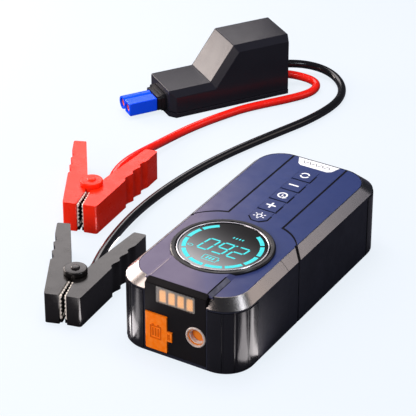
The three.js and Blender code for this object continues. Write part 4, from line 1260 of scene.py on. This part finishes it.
def module_ring(shrink, y):
    end = MODULE_LONG - 0.4 * shrink
    outline = [
        (shrink, 0), (end, 0), (end, HIGH_DECK - shrink),
        (RAMP[1] + shrink * 0.6, HIGH_DECK - shrink), (RAMP[0] + shrink * 0.6, LOW_DECK - shrink),
        (shrink, LOW_DECK - shrink),
    ]
    return [(x, y, z) for x, z in outline]


def module_block(name, inset):
    half = MODULE_HALF - inset
    return loft(name, [
        module_ring(inset + MODULE_BEVEL_DROP, half),
        module_ring(inset, half - MODULE_BEVEL_WIDTH),
        module_ring(inset, -half + MODULE_BEVEL_WIDTH),
        module_ring(inset + MODULE_BEVEL_DROP, -half),
    ])


def module_piece(obj, look, *stands_for, slot=None):
    """A piece made in the module's own axes, set in its place."""
    placed(obj, MODULE_ORIGIN, MODULE_HEADING)
    return piece(obj, look, *stands_for, body="lead_set", slot=slot)


def build_module():
    shell = module_block("module_upper", 0)
    hollow = keep(module_block("hollow", MODULE_WALL), slab(MODULE_WALL, MODULE_ABOVE))
    hollow_copy = copy_of(hollow, "hollow_copy")
    cut(shell, hollow)
    for _, (y, z) in CABLES.values():
        cut(shell, rod(CABLE_RADIUS + 0.4, "X", (0, y, z), MODULE_LONG - 12, MODULE_LONG + 5, 32))
    lower = cut(module_block("module_lower", -0.35), hollow_copy)
    keep(lower, slab(0, SPLIT_Z - 0.15))
    keep(shell, slab(SPLIT_Z + 0.15, MODULE_ABOVE))
    cut(shell, block(-5, 5.2, -8, 8, 5.5, 12))
    for obj, node in ((shell, "module_top_shell"), (lower, "module_base_shell")):
        module_piece(soften(obj, 0.7, 4, angle=18), "module_black", node)


def rounded_block(name, x0, x1, half_y, z0, z1, radius):
    """A block along X whose section has rounded corners."""
    middle_z, half_z = (z0 + z1) / 2, (z1 - z0) / 2
    ring = rounded(half_y, half_z, radius, 0, 6)
    return loft(name, [[(x, y, middle_z + z) for y, z, _ in ring] for x in (x0, x1)])


def build_plug():
    collar = rounded_block("collar", -3.2, -GAP, 11.5, 2.2, 15.2, 3)
    step = rounded_block("step", -6.0, -3.0, 10.2, 2.6, 13.8, 2.4)
    soften(join(collar, step), 0.45, 3)
    module_piece(collar, "bezel_black", "plug_collar", slot="module_black")

    x0, x1 = PLUG_X
    barrel = soften(rod(4.9, "X", (0, 4.6, PLUG_Z), x0, x1), 0.5, 3)
    square = block(x0, x1, -9.5, -0.15, PLUG_Z - 5, PLUG_Z + 5)
    join(barrel, soften(square, 0.8, 4))
    for y in (-PLUG_POLE, PLUG_POLE):
        cut(barrel, rod(3.5, "X", (0, y, PLUG_Z), x0 - 1, -9.3, 48))
    barrel.name = "plug_barrels"
    module_piece(soften(barrel, 0.25, 2, angle=50), "socket_blue", "plug_housing")

    for y, node in ((PLUG_POLE, "plug_contact_left"), (-PLUG_POLE, "plug_contact_right")):
        sleeve = turned(node + "_sleeve", [
            (2.2, -9.8), (2.2, x0 + 1.9), (2.5, x0 + 1.3), (3.2, x0 + 1.3), (3.2, -9.8),
        ], "X", (0, y, PLUG_Z), 48)
        module_piece(soften(sleeve, 0.12, 2, angle=20), "contact_red", node)


# ---- lead set: clamps


def grip_edge():
    """Scoops along the outer edge of a handle, each with a steep front and a long back."""
    outer, start, wave, front = ARM["outer"], GRIP["start"], GRIP["wave"], GRIP["front"]
    points = []
    for hump in range(GRIP["humps"]):
        for step in range(12):
            t = step / 12
            fall = math.sin(math.pi * t / front / 2) if t < front else 1 - (t - front) / (1 - front)
            depth = GRIP["depth"] * (fall * fall * (3 - 2 * fall))
            points.append((outer - depth, start + (hump + t) * wave))
    points.append((outer, start + GRIP["humps"] * wave))
    return points


def eased(before, corner, after, size=1.7):
    """A rounded corner of an outline."""
    before, corner, after = Vector(before), Vector(corner), Vector(after)
    start = corner + (before - corner).normalized() * size
    end = corner + (after - corner).normalized() * size
    return curve_points(start, corner, end, 5)


def arm_outline():
    outer, tip, tail = ARM["outer"], ARM["tip"], ARM["tail"]
    waist = (outer - ARM["waist_width"], ARM["waist"])
    root = (outer - ARM["waist_width"], ARM["root"])
    tip_inner, tip_outer = (outer - ARM["tip_width"], tip - 0.6), (outer, tip + 1)
    tail_outer, tail_inner = (outer, tail), (outer - ARM["tail_width"], tail - 1)
    return [
        *eased(root, tip_inner, tip_outer, 0.6),
        *eased(tip_inner, tip_outer, tail_outer),
        *grip_edge(),
        *eased(tip_outer, tail_outer, tail_inner),
        *eased(tail_outer, tail_inner, waist, 1.0),
        waist,
        root,
    ]


def ears(radius, layers):
    return [rod(radius, "Z", (0, 0, 0), z0, z1, 48) for z0, z1 in layers]


def clamp_arm(name, fixed):
    """One arm along its own Y, with the pivot at the origin and its outer edge at +X."""
    low, high = FORK
    clear = ARM["ear"] + 0.4
    arm = prism(name, arm_outline(), 0, ARM_TOP)
    if fixed:
        cut(arm, *ears(clear, [FORK]))
        join(arm, *ears(ARM["ear"], [(0, low), (high, ARM_TOP)]))
    else:
        low, high = low + GAP, high - GAP
        cut(arm, *ears(clear, [(-1, low), (high, ABOVE)]))
        join(arm, *ears(ARM["ear"], [(low, SPRING_ROOM[0]), (SPRING_ROOM[1], high)]))
        cut(arm, *ears(6, [SPRING_ROOM]))
    return cut(arm, rod(PIN_HOLE, "Z", (0, 0, 0), -1, 30, 32))


def saw(start, end, teeth):
    """Triangular teeth along a strip: (place along it, reach) pairs."""
    pitch = (end - start) / teeth
    points = []
    for tooth in range(teeth):
        foot = start + tooth * pitch
        points += [(foot + 0.04 * pitch, JAW_BACK), (foot + 0.5 * pitch, JAW_REACH),
                   (foot + 0.96 * pitch, JAW_BACK)]
    return points


def jaw_place(obj):
    """Sets a jaw part, made along +X with its teeth at -Y, on the nose's inner face."""
    root = Vector((ARM["outer"] - ARM["waist_width"], ARM["root"]))
    way = Vector((ARM["outer"] - ARM["tip_width"], ARM["tip"] - 0.6)) - root
    angle = math.atan2(way.y, way.x)
    place = root + JAW_PROUD * Vector((math.sin(angle), -math.cos(angle)))
    return placed(obj, (place.x, place.y, 0), math.degrees(angle))


def jaw_teeth(name):
    """Saw-toothed rims along the top, the bottom and the tip of a stamped jaw."""
    low, high = JAW_Z
    length = JAW_LENGTH
    along = [(0, 0)] + [(x, -reach) for x, reach in saw(0, length, JAW_TEETH)] + [(length, 0)]
    rims = [prism("rim", along, z, z + JAW_RIM) for z in (low, high - JAW_RIM)]
    comb = [(0, low)] + [(-reach, z) for z, reach in saw(low, high, JAW_TEETH)] + [(0, high)]
    teeth = join(*rims, prism_x("comb", comb, length - 1, length))
    teeth.name = name
    return jaw_place(soften(teeth, 0.08, 2))


def jaw_backing(name):
    """The dark plate that the teeth stand on, with a dark foot below them: painted shade in the gap
    between the jaws.
    """
    low, high = JAW_Z
    plate = block(1.5, JAW_LENGTH - 1.2, -0.25, 0, low + JAW_RIM + 0.1, high - JAW_RIM - 0.1)
    foot = block(1.5, JAW_LENGTH - 0.3, -JAW_REACH, 0, 0.4, low - 0.15)
    plate.name = name
    return jaw_place(soften(join(plate, foot), 0.08, 2))


def pivot_pin(name):
    """A headed pin: a flat round head with an eased edge and a small raised boss."""
    top = PIN_TOP - 1.0
    edge = 0.9
    head = []
    for step in range(6):
        angle = math.radians(90 * step / 5)
        head.append((CAP_RADIUS - edge + edge * math.cos(angle), top - edge + edge * math.sin(angle)))
    foot = ARM_TOP + GAP
    profile = [(2.5, GAP), (2.5, foot), (CAP_RADIUS - 0.4, foot), (CAP_RADIUS, foot + 0.4), *head,
               (BOSS_RADIUS + 0.1, top), (BOSS_RADIUS, top + 0.6), (BOSS_RADIUS - 0.3, top + 0.9),
               (BOSS_RADIUS - 0.7, PIN_TOP)]
    pin = spindle(name, profile, steps=64)
    shade(pin, 40)
    return pin


def coil(name):
    """The torsion spring round the pivot, with one straight end."""
    radius, foot, rise = SPRING["radius"], SPRING["foot"], SPRING["rise"]
    last = SPRING["turns"] * SPRING["steps"]
    points = [Vector((radius, 9, foot))]
    for step in range(last + 1):
        angle = step / SPRING["steps"] * math.tau
        height = foot + step / last * rise
        points.append(Vector((radius * math.cos(angle), radius * math.sin(angle), height)))
    wire = tube(name, points, SPRING["wire"], 12)
    shade(wire, 60)
    return wire


def build_clamp(colour):
    """The fixed half rides on the lead set, and the moving half is made as its mirror image."""
    pivot = joint_place(colour + "_clamp_hinge")
    pivot.z = 0
    look = "clamp_" + colour
    halves = (("fixed", "lead_set", -HALF_OPEN), ("moving", colour + "_moving_arm", HALF_OPEN))
    for half, body, swing in halves:
        fixed = half == "fixed"
        arm = soften(clamp_arm(f"{colour}_arm_{half}", fixed), 0.45, 3)
        teeth = jaw_teeth(f"{colour}_jaw_{half}")
        backing = jaw_backing(f"{colour}_jaw_back_{half}")
        for obj in (arm, teeth, backing):
            placed(obj if fixed else flipped(obj), (0, 0, 0), swing)
        if fixed:
            cut(arm, tube("cable_bore", [(4.2, 17.5, 16.5), (11, 12.5, 10.5)], CABLE_RADIUS + 0.4))
        for obj in (arm, teeth, backing):
            placed(obj, pivot, LEAN)
        piece(arm, look, f"{colour}_{half}_arm", body=body)
        piece(teeth, "jaw_copper", f"{colour}_{half}_jaw", body=body)
        piece(backing, "painted_shade_black", body=body, slot="jaw_copper")
    pin = placed(pivot_pin(colour + "_pivot_cap"), pivot, LEAN)
    spring = placed(coil(colour + "_spring"), pivot, LEAN)
    piece(pin, look, colour + "_pivot_pin", body="lead_set")
    piece(spring, "bare_steel", colour + "_clamp_spring", body="lead_set")


# ---- lead set: cables


def centre_line(node):
    """Ring centres along a CAD tube, from one end to the other, in millimetres."""
    work = bmesh.new()
    work.from_mesh(frame["nodes"][node].data)
    bmesh.ops.remove_doubles(work, verts=work.verts, dist=0.01 * MM)
    ring = end_ring(work)
    seen = set(ring)
    centres = []
    while ring:
        centre = sum((vert.co for vert in ring), Vector()) / len(ring)
        centres.append(centre / MM)
        ahead = {edge.other_vert(vert) for vert in ring for edge in vert.link_edges} - seen
        seen |= ahead
        ring = sorted(ahead, key=lambda vert: vert.index)
    work.free()
    return centres


def end_ring(work):
    """The corner points of a tube's flat end: the face plane with most points near it."""
    best = []
    for face in work.faces:
        centre = face.calc_center_median()
        flat = [vert for vert in work.verts
                if (vert.co - centre).length < 6.2 * MM
                and abs((vert.co - centre).dot(face.normal)) < 0.02 * MM]
        if len(flat) > len(best):
            best = flat
    return best


def relaxed(points):
    """Evens out a line's small wiggles, holding its two ends and its loop by the module."""
    for count in range(RELAX_PASSES):
        inner = [(a + 2 * b + c) / 4 if b.y < LOOP_Y or count < 4 else b
                 for a, b, c in zip(points, points[1:], points[2:])]
        points = [*points[:2], *inner[1:-1], *points[-2:]]
    return points


def build_cables():
    for node, (look, _) in CABLES.items():
        line = smooth_path(relaxed(centre_line(node)), 3)
        jacket = tube(node + "_jacket", line, CABLE_RADIUS, 28)
        shade(jacket, 60)
        piece(jacket, look, node, body="lead_set")


# ---- inner parts


INNER = {
    "circuit_board": ["display_board", "main_board", "module_board"],
    "bare_steel": ["usb_socket", "compressor_body", "compressor_motor", "crank_gear", "piston",
                   "case_screw_1", "case_screw_2", "case_screw_3", "case_screw_4"],
    "cell_wrap": ["battery_cell_1", "battery_cell_2", "battery_cell_3"],
    "socket_blue": ["output_socket"],
    "brass": ["drive_pinion"],
    "hose_rubber": ["air_hose"],
}


def dress_inner_parts():
    """Pieces inside the casing keep their CAD shape, with edges eased and real finishes."""
    for look, nodes in INNER.items():
        for node in nodes:
            obj = frame["nodes"][node]
            dress(obj, look)
            ease = obj.modifiers.new("ease", "BEVEL")
            ease.width = 0.2 * MM
            ease.segments = 2
            ease.limit_method = "ANGLE"
            ease.angle_limit = math.radians(50)


# ---- studio


def floor_material():
    """Pale to the camera, darker in reflections, with a light shadow."""
    nodes = Nodes("studio_floor")
    nodes.tree.nodes.remove(nodes.shader)
    path = nodes.add("ShaderNodeLightPath")
    shadow = nodes.add("ShaderNodeBsdfDiffuse", Color=(0.10, 0.10, 0.11, 1))
    glow = nodes.add("ShaderNodeEmission", Color=(0.82, 0.88, 0.94, 1), Strength=0.93)
    both = nodes.add("ShaderNodeAddShader")
    nodes.feed(shadow.outputs[0], both.inputs[0])
    nodes.feed(glow.outputs[0], both.inputs[1])
    dark = nodes.add("ShaderNodeBsdfDiffuse", Color=(0.08, 0.08, 0.10, 1))
    mix = nodes.add("ShaderNodeMixShader")
    nodes.feed(path.outputs["Is Camera Ray"], mix.inputs[0])
    nodes.feed(dark.outputs[0], mix.inputs[1])
    nodes.feed(both.outputs[0], mix.inputs[2])
    nodes.feed(mix.outputs[0], nodes.output.inputs["Surface"])
    return nodes.material


def build_floor():
    size, z = 3000, -0.2
    floor = make("floor", [(x, y, z) for x, y in rectangle(-size, size, -size, size)],
                 [[0, 1, 2, 3]])
    floor.data.materials.append(floor_material())


def area_light(name, place, target, width, height, power, colour):
    """A softbox invisible to the camera."""
    light = bpy.data.lights.new(name, "AREA")
    light.shape = "RECTANGLE"
    light.size = width * MM
    light.size_y = height * MM
    light.energy = power
    light.color = colour
    obj = new_object(name, light)
    obj.location = Vector(place) * MM
    aim = Vector(place) - Vector(target)
    obj.rotation_euler = aim.to_track_quat("Z", "Y").to_euler()
    obj.visible_camera = False
    return obj


def studio_world():
    """Soft sky light; reflections see a darker sky than diffuse surfaces do."""
    world = bpy.data.worlds.new("studio")
    world.use_nodes = True
    tree = world.node_tree
    sky = tree.nodes["Background"]
    sky.inputs[0].default_value = (0.84, 0.88, 1.0, 1)
    path = tree.nodes.new("ShaderNodeLightPath")
    level = tree.nodes.new("ShaderNodeMapRange")
    level.inputs["To Min"].default_value = 0.24
    level.inputs["To Max"].default_value = 0.05
    tree.links.new(path.outputs["Is Glossy Ray"], level.inputs["Value"])
    tree.links.new(level.outputs["Result"], sky.inputs[1])
    bpy.context.scene.world = world


def build_lights():
    """Softboxes seen in reflections, two that only light, and glints that only reflect."""
    area_light("back_left_box", (-390, 420, 330), (-90, 0, 20), 300, 280, 0.72, SOFT)
    area_light("left_panel", (-560, 30, 200), (-60, 40, 30), 460, 300, 2.5, WARM)
    area_light("back_right_box", (320, 350, 300), (20, 0, 30), 280, 200, 0.17, WARM)
    area_light("right_top_box", (419, 7, 497), (35, -83, 47), 170, 150, 0.60, COOL)
    area_light("front_left_box", (-250, -292, 343), (-30, -90, 48), 170, 150, 0.30, WARM)
    area_light("ramp_panel", (-554, 194, 98), (-158, 215, 33), 150, 110, 0.50, WARM)
    for name, place, target, width, height, power in (
        ("overhead", (-120, 130, 850), (-60, 60, 0), 450, 450, 5.5),
        ("front_fill", (-60, -750, 350), (-40, 0, 20), 500, 400, 4.2),
    ):
        area_light(name, place, target, width, height, power, PLAIN).visible_glossy = False
    for name, x, y, length, width, degrees, power in (
        ("right_side_glint", 71, -46, 58, 16, 47, 0.014),
        ("right_front_glint", 80, -78, 56, 20, 7, 0.018),
        ("left_glint", -63, -126, 42, 14, 43, 0.006),
        ("left_near_glint", -40, -105, 16, 4, 43, 0.0006),
        ("black_tip_glint", -52, -98, 24, 18, -14, 0.012),
        ("red_tip_glint", -105.2, -0.5, 24, 18, -14, 0.012),
    ):
        glint = area_light(name, (x, y, 0.5), (x, y, 50), length, width, power, SOFT)
        glint.rotation_euler.rotate_axis("Z", math.radians(-degrees))
        glint.visible_diffuse = False


def build_camera():
    camera = bpy.data.cameras.new("camera")
    camera.lens = CAMERA_LENS
    camera.sensor_width = 36
    camera.clip_start = 0.05
    obj = new_object("camera", camera)
    obj.location = Vector(CAMERA_PLACE) * MM
    obj.rotation_euler = [math.radians(angle) for angle in CAMERA_TURN]
    scene = bpy.context.scene
    scene.camera = obj
    scene.view_settings.view_transform = "Standard"


# ---- everything


def build():
    build_housings()
    build_rim()
    build_trims()
    build_cover()
    build_gaps()
    build_tongue_edges()
    build_lip()
    build_keys()
    build_icons()
    build_label()
    build_display()
    build_dial_marks()
    build_front_panel()
    build_lamp()
    build_flap()
    build_fitting()
    build_module()
    build_plug()
    build_clamp("red")
    build_clamp("black")
    build_cables()
    dress_inner_parts()
    build_floor()
    studio_world()
    build_lights()
    build_camera()


build()
